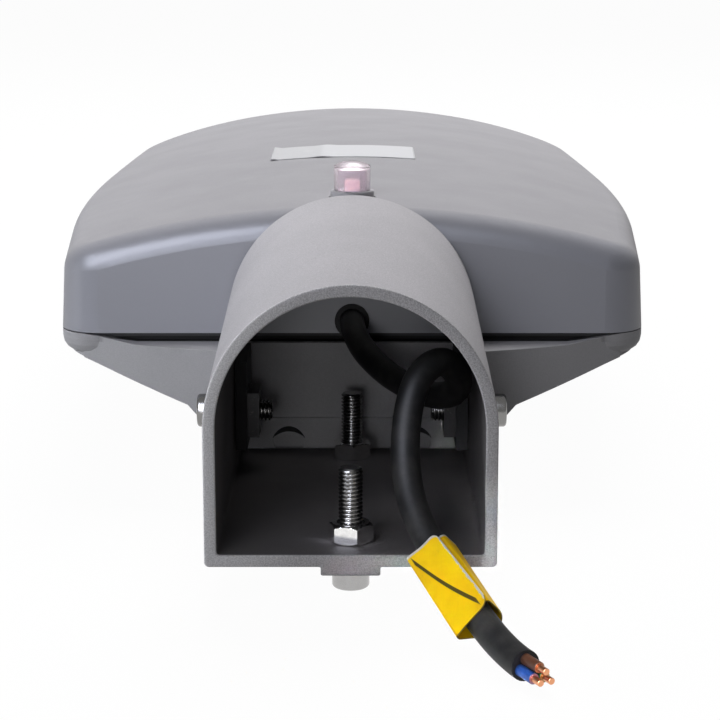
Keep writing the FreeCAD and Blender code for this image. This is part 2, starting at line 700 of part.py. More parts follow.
def hull_form(inset):
    """The body of the underside between the rear, the belly and the nose."""
    wide = S.middle_width
    rear_rise = S.bilge_slope * (wide - S.rear_bilge_width / 2)
    belly_rise = S.bilge_slope * (wide - S.belly_bilge_width / 2)
    rear = [(S.rear_keel_width / 2, -S.rear_keel_depth),
            (S.rear_knuckle_width / 2, S.rear_knuckle_height),
            (S.rear_bilge_width / 2, S.rear_bilge_height),
            (wide, S.rear_bilge_height + rear_rise)]
    belly = [(S.belly_width / 2, -S.belly_depth),
             (S.belly_width / 2 + S.belly_knuckle_out, S.belly_knuckle_rise - S.belly_depth),
             (S.belly_bilge_width / 2, S.belly_bilge_height),
             (wide, S.belly_bilge_height + belly_rise)]
    nose = [(S.nose_keel_width / 2, S.nose_keel_height),
            (S.rear_knuckle_width / 2, S.nose_knuckle_height),
            (S.rear_bilge_width / 2, S.rear_bilge_height),
            (wide, S.rear_bilge_height + rear_rise)]
    stations = [(BACK - S.bulge_depth - 20.0, rear), (BACK, rear), (BACK + S.belly_from_back, belly),
                (NOSE - S.belly_from_nose, belly), (NOSE + 2.0, nose)]
    sections = [cross_section(y, half, inset, inset) for y, half in stations]
    spans = [Part.makeLoft([sections[i], sections[i + 1]], True, True) for i in range(len(sections) - 1)]
    whole = spans[0]
    for span in spans[1:]:
        whole = whole.fuse(span)
    return whole.removeSplitter()


def bulge_wire(inset, low):
    """Plan of the housing's rear, which bows out under the cover's flat back as an arc."""
    half = S.bulge_width / 2 - inset
    side = BACK + S.bulge_blend
    tip = BACK - S.bulge_depth + inset
    arc = Part.Arc(Vector(-half, side, low), Vector(0, tip, low), Vector(half, side, low)).toShape()
    inner = side + S.housing_wall + 5.0
    closing = [Vector(half, side, low), Vector(half, inner, low), Vector(-half, inner, low), Vector(-half, side, low)]
    return Part.Wire([arc] + [Part.LineSegment(closing[i], closing[i + 1]).toShape() for i in range(3)])


def bulge(inset, low, high):
    return Part.Face(bulge_wire(inset, low)).extrude(Vector(0, 0, high - low))


def eased_levels(low):
    """Inset and level of each section down the side: upright, then a quarter turn under the edge."""
    radius = S.housing_edge_radius
    corner = S.rear_bilge_height + S.housing_edge_lift
    levels = [(0.0, S.rim_height), (0.0, corner + EASE * radius)]
    for step in (1, 2, 3):
        angle = math.radians(EASE_TURN * step / 3)
        levels.append((radius * (1 - math.cos(angle)), corner + EASE * radius - radius * math.sin(angle)))
    return levels + [(levels[-1][0] + 0.01, low)]


def eased_prism(low):
    """The plan carried straight down, with its lower edge eased level by level."""
    return Part.makeLoft([plan_wire(inset, level) for inset, level in eased_levels(low)], True, True)


def make_lower_housing():
    low = -S.belly_depth - 5.0
    wall = S.housing_wall
    flange_low = S.rim_height - S.flange_thickness - 2.0
    hull = hull_form(0)
    outer = eased_prism(low).fuse(bulge(0, low, S.rim_height)).common(hull)
    inside = hull_form(wall)
    hollow = plan_prism(wall, low, flange_low).fuse(bulge(wall, low, flange_low))
    hollow = hollow.fuse(plan_prism(S.flange_width, low, S.rim_height + 1.0)).common(inside)
    # the bracket's end passes into the rear of the housing, so the rear panel steps forward there
    tunnel_half = BRACKET_HALF + S.bracket_wall + S.tunnel_clearance
    hollow = hollow.cut(box(-tunnel_half - wall, tunnel_half + wall, 0, PANEL + wall, low, FAR))
    shell = outer.cut(hollow)
    # ledge at the rear: the rim dips between two ramps, which opens the dark gap under the cover
    half_low, half_high = S.ledge_width / 2, S.bulge_width / 2
    top = S.rim_height + 5.0
    ramp = [Vector(-half_high, 0, S.rim_height), Vector(-half_low, 0, LEDGE), Vector(half_low, 0, LEDGE),
            Vector(half_high, 0, S.rim_height), Vector(half_high, 0, top), Vector(-half_high, 0, top)]
    notch = Part.Face(Part.makePolygon(ramp + [ramp[0]])).extrude(Vector(0, BACK + S.gasket_inset, 0))
    shell = shell.cut(notch)
    # shelf over the light window, wide enough for the frame's screws, and the bosses of the cover screws
    land = S.shelf_margin
    shelf = box(-S.pocket_width / 2 - land, S.pocket_width / 2 + land,
                POCKET_Y - land, POCKET_Y + S.pocket_length + land, low, SHELF)
    margin = S.terminal_pad_margin
    pad_half = S.terminal_width / 2 + margin
    terminal_pad = box(-pad_half, pad_half, TERMINAL_Y - margin, POCKET_Y, low, SHELF)
    shell = shell.fuse(shelf.fuse(terminal_pad).common(outer))
    for x, y in cover_screw_places():
        shell = shell.fuse(rod(x, y, low, S.rim_height, S.cover_boss_diameter).common(outer))
    for x, y in cover_screw_places():
        shell = shell.cut(rod(x, y, low, FAR, S.cover_screw_diameter + 2 * S.hole_clearance))
        shell = shell.cut(rod(x, y, low, S.cover_screw_seat, S.cover_screw_head_diameter + 1.0))
    # room for the bracket, then the two lugs that reach into it
    shell = shell.cut(box(-tunnel_half, tunnel_half, 0, PANEL, low, FAR))
    lug_out = BRACKET_HALF - S.lug_clearance
    for sign in (-1, 1):
        near, far = sorted((sign * lug_out, sign * (lug_out - S.lug_thickness)))
        lug = box(near, far, PANEL - S.lug_length, PANEL + wall, S.lug_foot_height, LEDGE)
        hole = Part.makeCylinder(S.screw_diameter / 2 + S.hole_clearance, S.lug_thickness + 2.0,
                                 Vector(near - 1.0, S.bracket_length - S.side_screw_inset, S.side_screw_height),
                                 Vector(1, 0, 0))
        shell = shell.fuse(lug).cut(hole)
    # the panel seen through the bracket: a shallow step and two blind dimples
    step = box(-tunnel_half, tunnel_half, PANEL - 1.0, PANEL + S.panel_step_depth, S.panel_step_height,
               LEDGE - S.housing_wall)
    lugs_kept = [box(*sorted((sign * lug_out, sign * (lug_out - S.lug_thickness))), 0, FAR, low, FAR)
                 for sign in (-1, 1)]
    shell = shell.cut(step.cut(lugs_kept[0]).cut(lugs_kept[1]))
    for sign in (-1, 1):
        shell = shell.cut(Part.makeCylinder(S.panel_dimple_diameter / 2, S.panel_dimple_depth + 1.0,
                                            Vector(sign * S.panel_dimple_spacing / 2, PANEL - 1.0,
                                                   S.panel_dimple_height), Vector(0, 1, 0)))
    # seats for the seal, the cable and the light window
    floor = S.rim_height - S.gasket_groove_depth
    slack = S.gasket_clearance
    groove = plan_prism(S.gasket_inset - slack, floor, FAR / 10).cut(
        plan_prism(S.gasket_inset + S.gasket_width + slack, floor - 1.0, FAR / 5))
    shell = shell.cut(groove)
    shell = shell.cut(Part.makeCylinder(S.cable_diameter / 2 + S.cable_gap, 4 * S.flange_width,
                                        Vector(0, BACK, S.cable_height), Vector(0, 1, 0)))
    half = S.pocket_width / 2
    shell = shell.cut(box(-half, half, POCKET_Y, POCKET_Y + S.pocket_length, low, POCKET_TOP))
    lip = S.board_ledge
    shell = shell.cut(box(-half + lip, half - lip, POCKET_Y + lip, POCKET_Y + S.pocket_length - lip,
                          low, BOARD_TOP))
    for x, y in frame_screw_places():
        shell = shell.cut(rod(x, y, -S.belly_depth, -S.belly_depth + S.frame_screw_length,
                              S.frame_screw_diameter + 2 * S.thread_clearance))
    shell = shell.cut(rod(LED_LEAD_X, LED_LEAD_Y, BOARD_TOP - 1.0, SHELF + 1.0, S.lead_diameter + 1.0))
    for y in DRIVER_SCREW_Y:
        shell = shell.cut(rod(0, y, SHELF - DRIVER_BITE, SHELF + 1.0, S.driver_screw_diameter + 2 * S.thread_clearance))
    shell = shell.removeSplitter()
    finished_shape(max(shell.Solids, key=lambda solid: solid.Volume), "lower_housing")


def frame_screw_places():
    """Screws of the window frame, on the land outside the pocket: four along each side."""
    x = S.lens_frame_width / 2 - S.frame_screw_inset
    span = S.lens_frame_length / 2 - S.frame_screw_inset - S.lens_frame_corner
    along = [WINDOW_Y + span * k for k in (-1, -1 / 3, 1 / 3, 1)]
    return [(sign * x, y) for sign in (-1, 1) for y in along]


def make_cover_gasket():
    floor = S.rim_height - S.gasket_groove_depth
    outside, inside = S.gasket_inset, S.gasket_inset + S.gasket_width
    foot = plan_prism(outside, floor, floor + S.gasket_foot_height)
    lip = plan_prism(outside + S.gasket_lip_inset, floor, SEAM)
    ring = foot.fuse(lip).cut(plan_prism(inside, floor - 1.0, SEAM + 1.0))
    ring = ring.cut(Part.makeCylinder(S.cable_diameter / 2 + S.cable_gap, 4 * S.flange_width,
                                      Vector(0, BACK, S.cable_height), Vector(0, 1, 0)))
    finished_shape(ring.removeSplitter().Solids[0], "cover_gasket")


def make_cover_screws():
    screws = []
    for x, y in cover_screw_places():
        seat = S.cover_screw_seat
        head = rod(x, y, seat - S.cover_screw_head_height, seat, S.cover_screw_head_diameter)
        screw = head.fuse(rod(x, y, seat, seat + S.cover_screw_length - 2.0, S.cover_screw_diameter))
        slot = Part.makeBox(S.cover_screw_recess_length, S.cover_screw_recess_width, S.cover_screw_head_height / 2)
        for turn in (0, 90):
            arm = slot.translated(Vector(-S.cover_screw_recess_length / 2, -S.cover_screw_recess_width / 2, 0))
            arm.rotate(Vector(0, 0, 0), Vector(0, 0, 1), turn)
            screw = screw.cut(arm.translated(Vector(x, y, seat - S.cover_screw_head_height)))
        screws.append(screw)
    finished_shape(Part.makeCompound(screws), "cover_screws")


# Light window: board, light chips, lens plate, seal and frame, from the inside out.

def make_led_board():
    body = new_body("led_board_body")
    outline = sketch_on(body, "XY_Plane", "board_outline", "%s - sizes.board_thickness" % E_BOARD_TOP)
    margin = "sizes.board_ledge + sizes.board_clearance"
    half = "(sizes.pocket_width / 2 - %s)" % margin.replace(" + ", " - ")
    rectangle(outline, "-%s" % half, half, "%s + %s" % (E_POCKET_Y, margin),
              "%s + sizes.pocket_length - %s" % (E_POCKET_Y, margin.replace(" + ", " - ")))
    pad(body, outline, "board_plate", "sizes.board_thickness")
    doc.recompute()
    finished(body, "led_board")


def chip_places():
    columns, rows = int(S.chip_columns), int(S.chip_rows)
    for column in range(columns):
        for row in range(rows):
            yield ((column - (columns - 1) / 2) * S.chip_pitch_across,
                   WINDOW_Y + (row - (rows - 1) / 2) * S.chip_pitch_along)


def make_led_chips():
    top = BOARD_TOP - S.board_thickness
    half = S.chip_size / 2
    chips = [box(x - half, x + half, y - half, y + half, top - S.chip_height, top) for x, y in chip_places()]
    finished_shape(Part.makeCompound(chips), "led_chips")


def make_lens_plate():
    """Clear plate with one low dome under each chip, and a shallow well above it for the chip."""
    gap = S.board_clearance
    plate = box(-S.pocket_width / 2 + gap, S.pocket_width / 2 - gap, POCKET_Y + gap,
                POCKET_Y + S.pocket_length - gap, POCKET_TOP - S.lens_plate_thickness, POCKET_TOP)
    under = POCKET_TOP - S.lens_plate_thickness
    sphere_radius = ((S.lens_dome_diameter / 2) ** 2 + S.lens_dome_height ** 2) / (2 * S.lens_dome_height)
    domes = []
    for x, y in chip_places():
        ball = Part.makeSphere(sphere_radius, Vector(x, y, under - S.lens_dome_height + sphere_radius))
        reach = S.lens_dome_diameter
        domes.append(ball.common(box(x - reach, x + reach, y - reach, y + reach,
                                     under - 2 * S.lens_dome_height, under + 0.5)))
    plate = plate.fuse(domes)
    finished_shape(plate.removeSplitter().Solids[0], "lens_plate")


def make_lens_seal():
    under = POCKET_TOP - S.lens_plate_thickness
    gap = S.board_clearance
    ring = box(-S.pocket_width / 2 + gap, S.pocket_width / 2 - gap, POCKET_Y + gap,
               POCKET_Y + S.pocket_length - gap, under - S.seal_thickness, under)
    inner = gap + S.seal_width
    hole = box(-S.pocket_width / 2 + inner, S.pocket_width / 2 - inner, POCKET_Y + inner,
               POCKET_Y + S.pocket_length - inner, under - S.seal_thickness - 1.0, under + 1.0)
    finished_shape(ring.cut(hole), "lens_seal")


def make_lens_frame():
    body = new_body("lens_frame_body")
    outline = sketch_on(body, "XY_Plane", "frame_outline", "-sizes.belly_depth - sizes.lens_frame_thickness")
    half = "sizes.lens_frame_width / 2"
    low = "%s - sizes.lens_frame_length / 2" % E_WINDOW_Y
    high = "%s + sizes.lens_frame_length / 2" % E_WINDOW_Y
    rectangle(outline, "-%s" % half, half, low, high)
    flange = pad(body, outline, "frame_flange", "sizes.lens_frame_thickness")
    doc.recompute()
    upright = []
    for i, edge in enumerate(flange.Shape.Edges, start=1):
        if abs(edge.tangentAt(edge.FirstParameter).z) > 0.99:
            upright.append("Edge%d" % i)
    corner = body.newObject("PartDesign::Fillet", "frame_corners")
    corner.Base = (flange, upright)
    corner.setExpression("Radius", "sizes.lens_frame_corner")
    doc.recompute()
    spigot = sketch_on(body, "XY_Plane", "frame_spigot", "-sizes.belly_depth")
    half_in = "(sizes.pocket_width / 2 - sizes.board_clearance)"
    rectangle(spigot, "-%s" % half_in, half_in, "%s + sizes.board_clearance" % E_POCKET_Y,
              "%s + sizes.pocket_length - sizes.board_clearance" % E_POCKET_Y)
    pad(body, spigot, "frame_step",
        "sizes.pocket_depth - sizes.lens_plate_thickness - sizes.seal_thickness")
    window = sketch_on(body, "XY_Plane", "frame_window", "-sizes.belly_depth - sizes.lens_frame_thickness - 1")
    rim = "(sizes.board_clearance + sizes.seal_width)"
    half_window = "(sizes.pocket_width / 2 - %s)" % rim
    rectangle(window, "-%s" % half_window, half_window, "%s + %s" % (E_POCKET_Y, rim),
              "%s + sizes.pocket_length - %s" % (E_POCKET_Y, rim))
    pocket(body, window, "frame_opening", "sizes.lens_frame_thickness + sizes.pocket_depth + 1", True)
    doc.recompute()
    drilled = body.Shape.copy()
    for x, y in frame_screw_places():
        drilled = drilled.cut(rod(x, y, REST - 1, 0, S.frame_screw_diameter + 2 * S.hole_clearance))
        drilled = drilled.cut(rod(x, y, REST - 1, REST + S.frame_screw_head_height + 0.2,
                                  S.frame_screw_head_diameter + 0.6))
    finished_shape(drilled, "lens_frame")


def make_frame_screws():
    screws = []
    for x, y in frame_screw_places():
        seat = REST + S.frame_screw_head_height + 0.2
        head = rod(x, y, seat - S.frame_screw_head_height, seat, S.frame_screw_head_diameter)
        tip = -S.belly_depth + S.frame_screw_length - 0.5
        screws.append(head.fuse(rod(x, y, seat, tip, S.frame_screw_diameter)))
    finished_shape(Part.makeCompound(screws), "lens_frame_screws")


# Electrical gear on the shelf over the light window.

E_DRIVER_END = "(%s + sizes.pocket_length - sizes.driver_from_pocket_end)" % E_POCKET_Y
E_DRIVER_START = "(%s - sizes.driver_length)" % E_DRIVER_END


def make_driver_case():
    body = new_body("driver_case_body")
    outline = sketch_on(body, "XY_Plane", "driver_outline", E_SHELF)
    rectangle(outline, "-sizes.driver_width / 2", "sizes.driver_width / 2", E_DRIVER_START, E_DRIVER_END)
    case = pad(body, outline, "driver_block", "sizes.driver_height")
    doc.recompute()
    long_edges = []
    top = SHELF + S.driver_height
    for i, edge in enumerate(case.Shape.Edges, start=1):
        if edge.BoundBox.ZMin > top - 0.01:
            long_edges.append("Edge%d" % i)
    rounding = body.newObject("PartDesign::Fillet", "driver_edges")
    rounding.Base = (case, long_edges)
    rounding.setExpression("Radius", "sizes.driver_edge_radius")
    doc.recompute()
    feet = sketch_on(body, "XY_Plane", "driver_feet_outline", E_SHELF)
    rectangle(feet, "-sizes.driver_width / 4", "sizes.driver_width / 4",
              "%s - sizes.driver_foot_length" % E_DRIVER_START, "%s + sizes.driver_foot_length" % E_DRIVER_END)
    pad(body, feet, "driver_feet", "sizes.driver_foot_thickness")
    holes = sketch_on(body, "XY_Plane", "driver_hole_centres", E_SHELF)
    for y in ("%s - sizes.driver_foot_length / 2" % E_DRIVER_START,
              "%s + sizes.driver_foot_length / 2" % E_DRIVER_END):
        circle(holes, "0", y, "sizes.driver_screw_diameter + 2 * sizes.hole_clearance")
    pocket(body, holes, "driver_holes", "sizes.driver_foot_thickness", True)
    doc.recompute()
    finished(body, "driver_case")


def make_driver_screws():
    screws = []
    for y in DRIVER_SCREW_Y:
        seat = SHELF + S.driver_foot_thickness
        head = rod(0, y, seat, seat + S.driver_screw_head_height, S.driver_screw_head_diameter)
        screws.append(head.fuse(rod(0, y, SHELF - DRIVER_BITE + 0.2, seat, S.driver_screw_diameter)))
    finished_shape(Part.makeCompound(screws), "driver_screws")


E_TERMINAL_Y = "(%s - sizes.terminal_before_pocket)" % E_POCKET_Y


def make_terminal_block():
    """Moulded block with a row of screw wells, one for each pole, repeated at the pitch."""
    body = new_body("terminal_block_body")
    outline = sketch_on(body, "XY_Plane", "terminal_outline", E_SHELF)
    rectangle(outline, "-sizes.terminal_width / 2", "sizes.terminal_width / 2",
              E_TERMINAL_Y, "%s + sizes.terminal_length" % E_TERMINAL_Y)
    pad(body, outline, "terminal_body", "sizes.terminal_height")
    doc.recompute()
    well = sketch_on(body, "XY_Plane", "terminal_well", "%s + sizes.terminal_height" % E_SHELF)
    circle(well, "-(sizes.terminal_poles - 1) / 2 * sizes.terminal_pitch",
           "%s + sizes.terminal_length / 2" % E_TERMINAL_Y, "sizes.terminal_hole")
    wells = pocket(body, well, "terminal_wells", "sizes.terminal_hole_depth")
    doc.recompute()
    row = body.newObject("PartDesign::LinearPattern", "terminal_row")
    row.Originals = [wells]
    row.Direction = (well, ["H_Axis"])
    row.setExpression("Length", "(sizes.terminal_poles - 1) * sizes.terminal_pitch")
    row.setExpression("Occurrences", "sizes.terminal_poles")
    body.Tip = row
    doc.recompute()
    finished(body, "terminal_block")


def make_driver_leads():
    """Straight leads from the terminal block to the driver, one for each pole."""
    level = SHELF + S.lead_height
    start = TERMINAL_Y + S.terminal_length
    poles = int(S.terminal_poles)
    leads = [Part.makeCylinder(S.lead_diameter / 2, DRIVER_START - start,
                               Vector((k - (poles - 1) / 2) * S.terminal_pitch, start, level), Vector(0, 1, 0))
             for k in range(poles)]
    finished_shape(Part.makeCompound(leads), "driver_leads")


# Light sensor on the cover: base with a threaded stem, nut under the roof, clear dome and its cell.

def make_light_sensor():
    seat = SENSOR_SEAT
    base = rod(0, SENSOR_Y, seat, seat + S.sensor_flange_height, S.sensor_flange_diameter)
    base = base.makeFillet(0.6, [base.Edges[0]])
    base = base.fuse(rod(0, SENSOR_Y, seat - S.sensor_stem_length, seat, S.sensor_stem_diameter))
    finished_shape(base.removeSplitter().Solids[0], "sensor_base")
    bore = rod(0, SENSOR_Y, SENSOR_UNDER - S.sensor_nut_height, SENSOR_UNDER,
               S.sensor_stem_diameter + 2 * S.thread_clearance)
    radius = S.sensor_nut_across / math.sqrt(3)
    ring = [Vector(radius * math.cos(math.radians(60 * k)), SENSOR_Y + radius * math.sin(math.radians(60 * k)),
                   SENSOR_UNDER - S.sensor_nut_height) for k in range(6)]
    nut = Part.Face(Part.makePolygon(ring + [ring[0]])).extrude(Vector(0, 0, S.sensor_nut_height))
    finished_shape(nut.cut(bore), "sensor_nut")
    foot = seat + S.sensor_flange_height

    def dome_form(inset):
        """An upright round wall under a low cap of a larger sphere."""
        radius = S.sensor_dome_diameter / 2 - inset
        top = foot + S.sensor_dome_height - inset
        rise = S.sensor_cap_rise
        ball_radius = (radius ** 2 + rise ** 2) / (2 * rise)
        ball = Part.makeSphere(ball_radius, Vector(0, SENSOR_Y, top - ball_radius))
        wall = rod(0, SENSOR_Y, foot - (1.0 if inset else 0.0), top - rise, 2 * radius)
        cap = rod(0, SENSOR_Y, top - rise, top + 1.0, 2 * radius + 2.0).common(ball)
        return wall.fuse(cap).removeSplitter()

    finished_shape(dome_form(0).cut(dome_form(S.sensor_dome_wall)), "sensor_dome")
    half = S.sensor_chip_size / 2
    cell = box(-half, half, SENSOR_Y - half, SENSOR_Y + half, foot, foot + S.sensor_chip_height)
    finished_shape(cell.makeFillet(0.5, [e for e in cell.Edges if e.BoundBox.ZMin > foot + 0.1 * half]),
                   "sensor_cell")


def make_blank_label():
    """Thin blank label that follows the crown of the cover."""
    x0 = S.label_offset - S.label_width / 2
    y0 = BACK + S.label_from_back - S.label_length / 2
    patch = box(x0, x0 + S.label_width, y0, y0 + S.label_length, SEAM, FAR / 5)
    outer = under_crown(-S.label_thickness - S.label_clearance)
    label = outer.common(patch).cut(under_crown(-S.label_clearance))
    finished_shape(label.Solids[0], "blank_label")


# Cords and leads: straight runs joined by tangent arcs.

ARC_SHARE = 0.45


def tube(points, diameter, name):
    """Tube along a route; each arc takes 0.45 of its shorter run, divided by the tangent of half the turn."""
    edges = []
    last = points[0]
    radii = []
    for i in range(1, len(points) - 1):
        before = (points[i - 1] - points[i])
        after = (points[i + 1] - points[i])
        shorter = min(before.Length, after.Length)
        before.normalize()
        after.normalize()
        turn = math.pi - before.getAngle(after)
        reach = ARC_SHARE * shorter
        radius = reach / math.tan(turn / 2)
        radii.append(radius)
        middle = (before + after).normalize()
        inside = radius / math.cos(turn / 2) - radius
        start, end = points[i] + before * reach, points[i] + after * reach
        edges.append(Part.LineSegment(last, start).toShape())
        edges.append(Part.Arc(start, points[i] + middle * inside, end).toShape())
        last = end
    edges.append(Part.LineSegment(last, points[-1]).toShape())
    path = Part.Wire(edges)
    heading = points[1] - points[0]
    ring = Part.Wire([Part.Circle(points[0], heading, diameter / 2).toShape()])
    solid = path.makePipeShell([ring], True, False)
    expected = math.pi * (diameter / 2) ** 2 * path.Length
    print("%s: length %.1f, volume %.4f of section times length, radii %s" % (
        name, path.Length, solid.Volume / expected, " ".join("%.1f" % r for r in radii)))
    return solid


# Route of the supply cable, on the working axes: out of the cover, down to the right, up into a tight
# loop, down again to the mouth of the bracket and out onto the resting surface.
CABLE_ROUTE = [
    (0.0, 106.0, 36.8),
    (0.0, 95.0, 36.8),
    (4.0, 84.0, 31.5),
    (12.0, 72.0, 27.0),
    (21.0, 60.0, 25.5),
    (27.3, 47.0, 29.0),
    (28.0, 36.0, 37.0),
    (22.6, 28.0, 43.0),
    (16.6, 23.0, 39.5),
    (13.8, 17.4, 30.8),
    (13.2, 10.4, 20.2),
    (15.0, 2.0, 11.2),
    (19.4, -8.2, 4.6),
    (30.6, -31.0, -7.0),
    (36.4, -42.6, -10.2),
    (38.8, -47.5, -10.2),
]
# The tag sits on the long run near the loose end, at this share of it; its broad side looks this way, and
# its folds are this share of its half depth.
TAG_PLACE = 0.56
TAG_FACING = Vector(-0.2, -0.9, 0.3)
TAG_FOLD = 0.7


def make_supply_cable():
    route = [Vector(*point) for point in CABLE_ROUTE]
    finished_shape(tube(route, S.cable_diameter, "supply_cable"), "supply_cable")
    drop = Vector(0, TERMINAL_Y, SHELF + 0.6 * S.terminal_height)
    leaves = route[0] + Vector(0, 2.4 * S.flange_width, 0)
    arrives = drop - Vector(0, S.terminal_height, 0)
    between = (leaves + arrives) / 2 + Vector(0, 0, 0.2 * S.cable_diameter)
    inner = [route[0], leaves, between, arrives, drop]
    finished_shape(tube(inner, S.cable_diameter, "inner_cable"), "inner_cable")
    heading = (route[-1] - route[-2]).normalize()
    across = Vector(-heading.y, heading.x, 0)
    spread = S.core_diameter / math.sqrt(3) + 0.08
    for core, bearing in (("core_brown", 90), ("core_blue", 210), ("core_earth", 330)):
        angle = math.radians(bearing)
        start = route[-1] + across * (spread * math.cos(angle)) + Vector(0, 0, spread * math.sin(angle))
        finished_shape(Part.makeCylinder(S.core_diameter / 2, S.core_length, start, heading), core)


def make_cable_grommet():
    at = Vector(0, BACK, S.cable_height)
    sleeve = Part.makeCylinder(S.grommet_diameter / 2, S.cover_wall, at, Vector(0, 1, 0))
    bore = Part.makeCylinder(S.cable_diameter / 2, S.cover_wall, at, Vector(0, 1, 0))
    finished_shape(sleeve.cut(bore), "cable_grommet")


def make_cable_tag():
    """Folded tag round the cable: a flat loop whose broad side faces up and out of the bracket."""
    start, end = (Vector(*point) for point in CABLE_ROUTE[-4:-2])
    along = (end - start).normalize()
    facing = (TAG_FACING - along * TAG_FACING.dot(along)).normalize()
    across = along.cross(facing).normalize()
    beside = S.tag_width / 2 - S.tag_thickness - S.cable_diameter / 2 - S.tag_clearance
    foot = start + (end - start) * TAG_PLACE - along * (S.tag_length / 2) + across * beside

    def loop(outset):
        half_across = S.tag_width / 2 + outset - S.tag_thickness
        half_facing = S.cable_diameter / 2 + S.tag_slack + outset
        corners = [(-half_across, -half_facing), (half_across, -half_facing),
                   (half_across, half_facing), (-half_across, half_facing)]
        ring = [foot + across * u + facing * v for u, v in corners]
        form = Part.Face(Part.makePolygon(ring + [ring[0]])).extrude(along * S.tag_length)
        sides = [e for e in form.Edges if abs(e.tangentAt(e.FirstParameter).dot(along)) > 0.99]
        return form.makeFillet(half_facing * TAG_FOLD, sides)

    finished_shape(loop(S.tag_thickness).cut(loop(0)), "cable_tag")


def make_inner_leads():
    """Lead from the driver through the shelf to the board, and lead from the sensor to the driver."""
    level = SHELF + S.lead_height
    led = [Vector(S.driver_width / 2, LED_LEAD_Y, level), Vector(LED_LEAD_X, LED_LEAD_Y, level),
           Vector(LED_LEAD_X, LED_LEAD_Y, BOARD_TOP)]
    finished_shape(tube(led, S.lead_diameter, "led_lead"), "led_lead")
    start = Vector(0, SENSOR_Y, SENSOR_SEAT - S.sensor_stem_length)
    end = Vector(-S.terminal_pitch, DRIVER_START, SHELF + S.driver_height * 0.75)
    drops = start - Vector(0, 0, S.sensor_lead_drop)
    arrives = end - Vector(0, S.sensor_lead_drop, 0)
    gap = arrives - drops
    sensor = [start, drops, drops + Vector(0.3 * gap.x, 0.35 * gap.y, 0.5 * gap.z),
              drops + Vector(0.7 * gap.x, 0.7 * gap.y, 0.85 * gap.z), arrives, end]
    finished_shape(tube(sensor, S.lead_diameter, "sensor_lead"), "sensor_lead")


make_pole_bracket()
for clamp_end in ("front", "rear"):
    make_clamp_set(clamp_end)
for side_name, side_sign in (("left", -1), ("right", 1)):
    make_side_set(side_name, side_sign)
make_top_cover()
make_lower_housing()
make_cover_gasket()
make_cover_screws()
make_led_board()
make_led_chips()
make_lens_plate()
make_lens_seal()
make_lens_frame()
make_frame_screws()
make_driver_case()
make_driver_screws()
make_terminal_block()
make_driver_leads()
make_light_sensor()
make_blank_label()
make_supply_cable()
make_cable_grommet()
make_cable_tag()
make_inner_leads()
doc.recompute()

# Every object has to be sound before anything is written.
for item in doc.Objects:
    if "Invalid" in item.State or "Error" in item.State:
        raise RuntimeError("%s failed: %s" % (item.Name, item.State))
for piece in nodes:
    if piece.Shape.isNull() or not piece.Shape.isValid() or piece.Shape.Volume <= 0:
        raise RuntimeError("%s has no sound shape" % piece.Label)
os.makedirs("parts", exist_ok=True)
for piece in nodes:
    piece.Shape.exportStep(os.path.join("parts", piece.Label + ".step"))
    print("%-20s %8.0f mm3, %d solids" % (piece.Label, piece.Shape.Volume, len(piece.Shape.Solids)))
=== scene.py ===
# %% [markdown]
# # LED street light head
# The head is seen from the open mouth of its pole bracket, a little from above. Its solids are
# packed as a fixed frame, in metres. The cover and the housing are painted as they are, and a finer
# piece stands for a solid wherever that lacks what the eye looks for: threads, soft rims, folds and
# grooves.

# %% Load the frame
import math

import bmesh
import bpy
import numpy as np
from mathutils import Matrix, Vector


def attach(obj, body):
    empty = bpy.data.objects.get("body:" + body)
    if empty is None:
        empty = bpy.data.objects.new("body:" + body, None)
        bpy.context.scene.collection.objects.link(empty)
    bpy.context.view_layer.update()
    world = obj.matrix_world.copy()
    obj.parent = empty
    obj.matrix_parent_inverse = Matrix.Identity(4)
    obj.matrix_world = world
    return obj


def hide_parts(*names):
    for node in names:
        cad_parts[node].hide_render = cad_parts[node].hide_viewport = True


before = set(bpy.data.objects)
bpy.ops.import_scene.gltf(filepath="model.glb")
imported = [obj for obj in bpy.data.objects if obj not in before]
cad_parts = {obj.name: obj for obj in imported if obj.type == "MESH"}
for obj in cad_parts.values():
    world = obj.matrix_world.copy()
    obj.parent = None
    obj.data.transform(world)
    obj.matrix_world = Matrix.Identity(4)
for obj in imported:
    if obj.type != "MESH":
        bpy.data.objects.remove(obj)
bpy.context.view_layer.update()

MM = 0.001
TURN = 2 * math.pi
# The bracket's mouth and its inner floor in the frame: most sizes are counted from these two.
MOUTH = -212.5 * MM
FLOOR = 14 * MM
print("frame:", len(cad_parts), "nodes")

# %% [markdown]
# ## Camera
# The photograph was taken from behind the bracket with a long lens. A camera could be placed by
# eye, but the mouth's edges, the nut and the outline of the cover fix it better: 0.48 m behind the
# mouth, 12.3 degrees down, with a 103 mm lens.

# %% Camera
CAMERA_PLACE = (0.0023, -0.6897, 0.1667)
CAMERA_DOWN = 12.32
CAMERA_LENS = 103.0

camera = bpy.data.objects.new("camera", bpy.data.cameras.new("camera"))
bpy.context.scene.collection.objects.link(camera)
camera.location = CAMERA_PLACE
camera.rotation_euler = (math.radians(90 - CAMERA_DOWN), 0, 0)
camera.data.sensor_width = 36.0
camera.data.lens = CAMERA_LENS
camera.data.clip_start = 0.01
bpy.context.scene.camera = camera
print("camera behind the mouth, m:", round(MOUTH - CAMERA_PLACE[1], 3))

# %% [markdown]
# ## Meshes from arrays
# A new piece could be put together from Blender's own cylinders and boxes. A grid of points worked
# out with numpy follows any formula, such as a helix or a fold. Its faces join each point to its
# neighbours. A grid that runs round a piece wraps, and one that ends on an axis closes there once
# equal points are merged.

# %% Grids


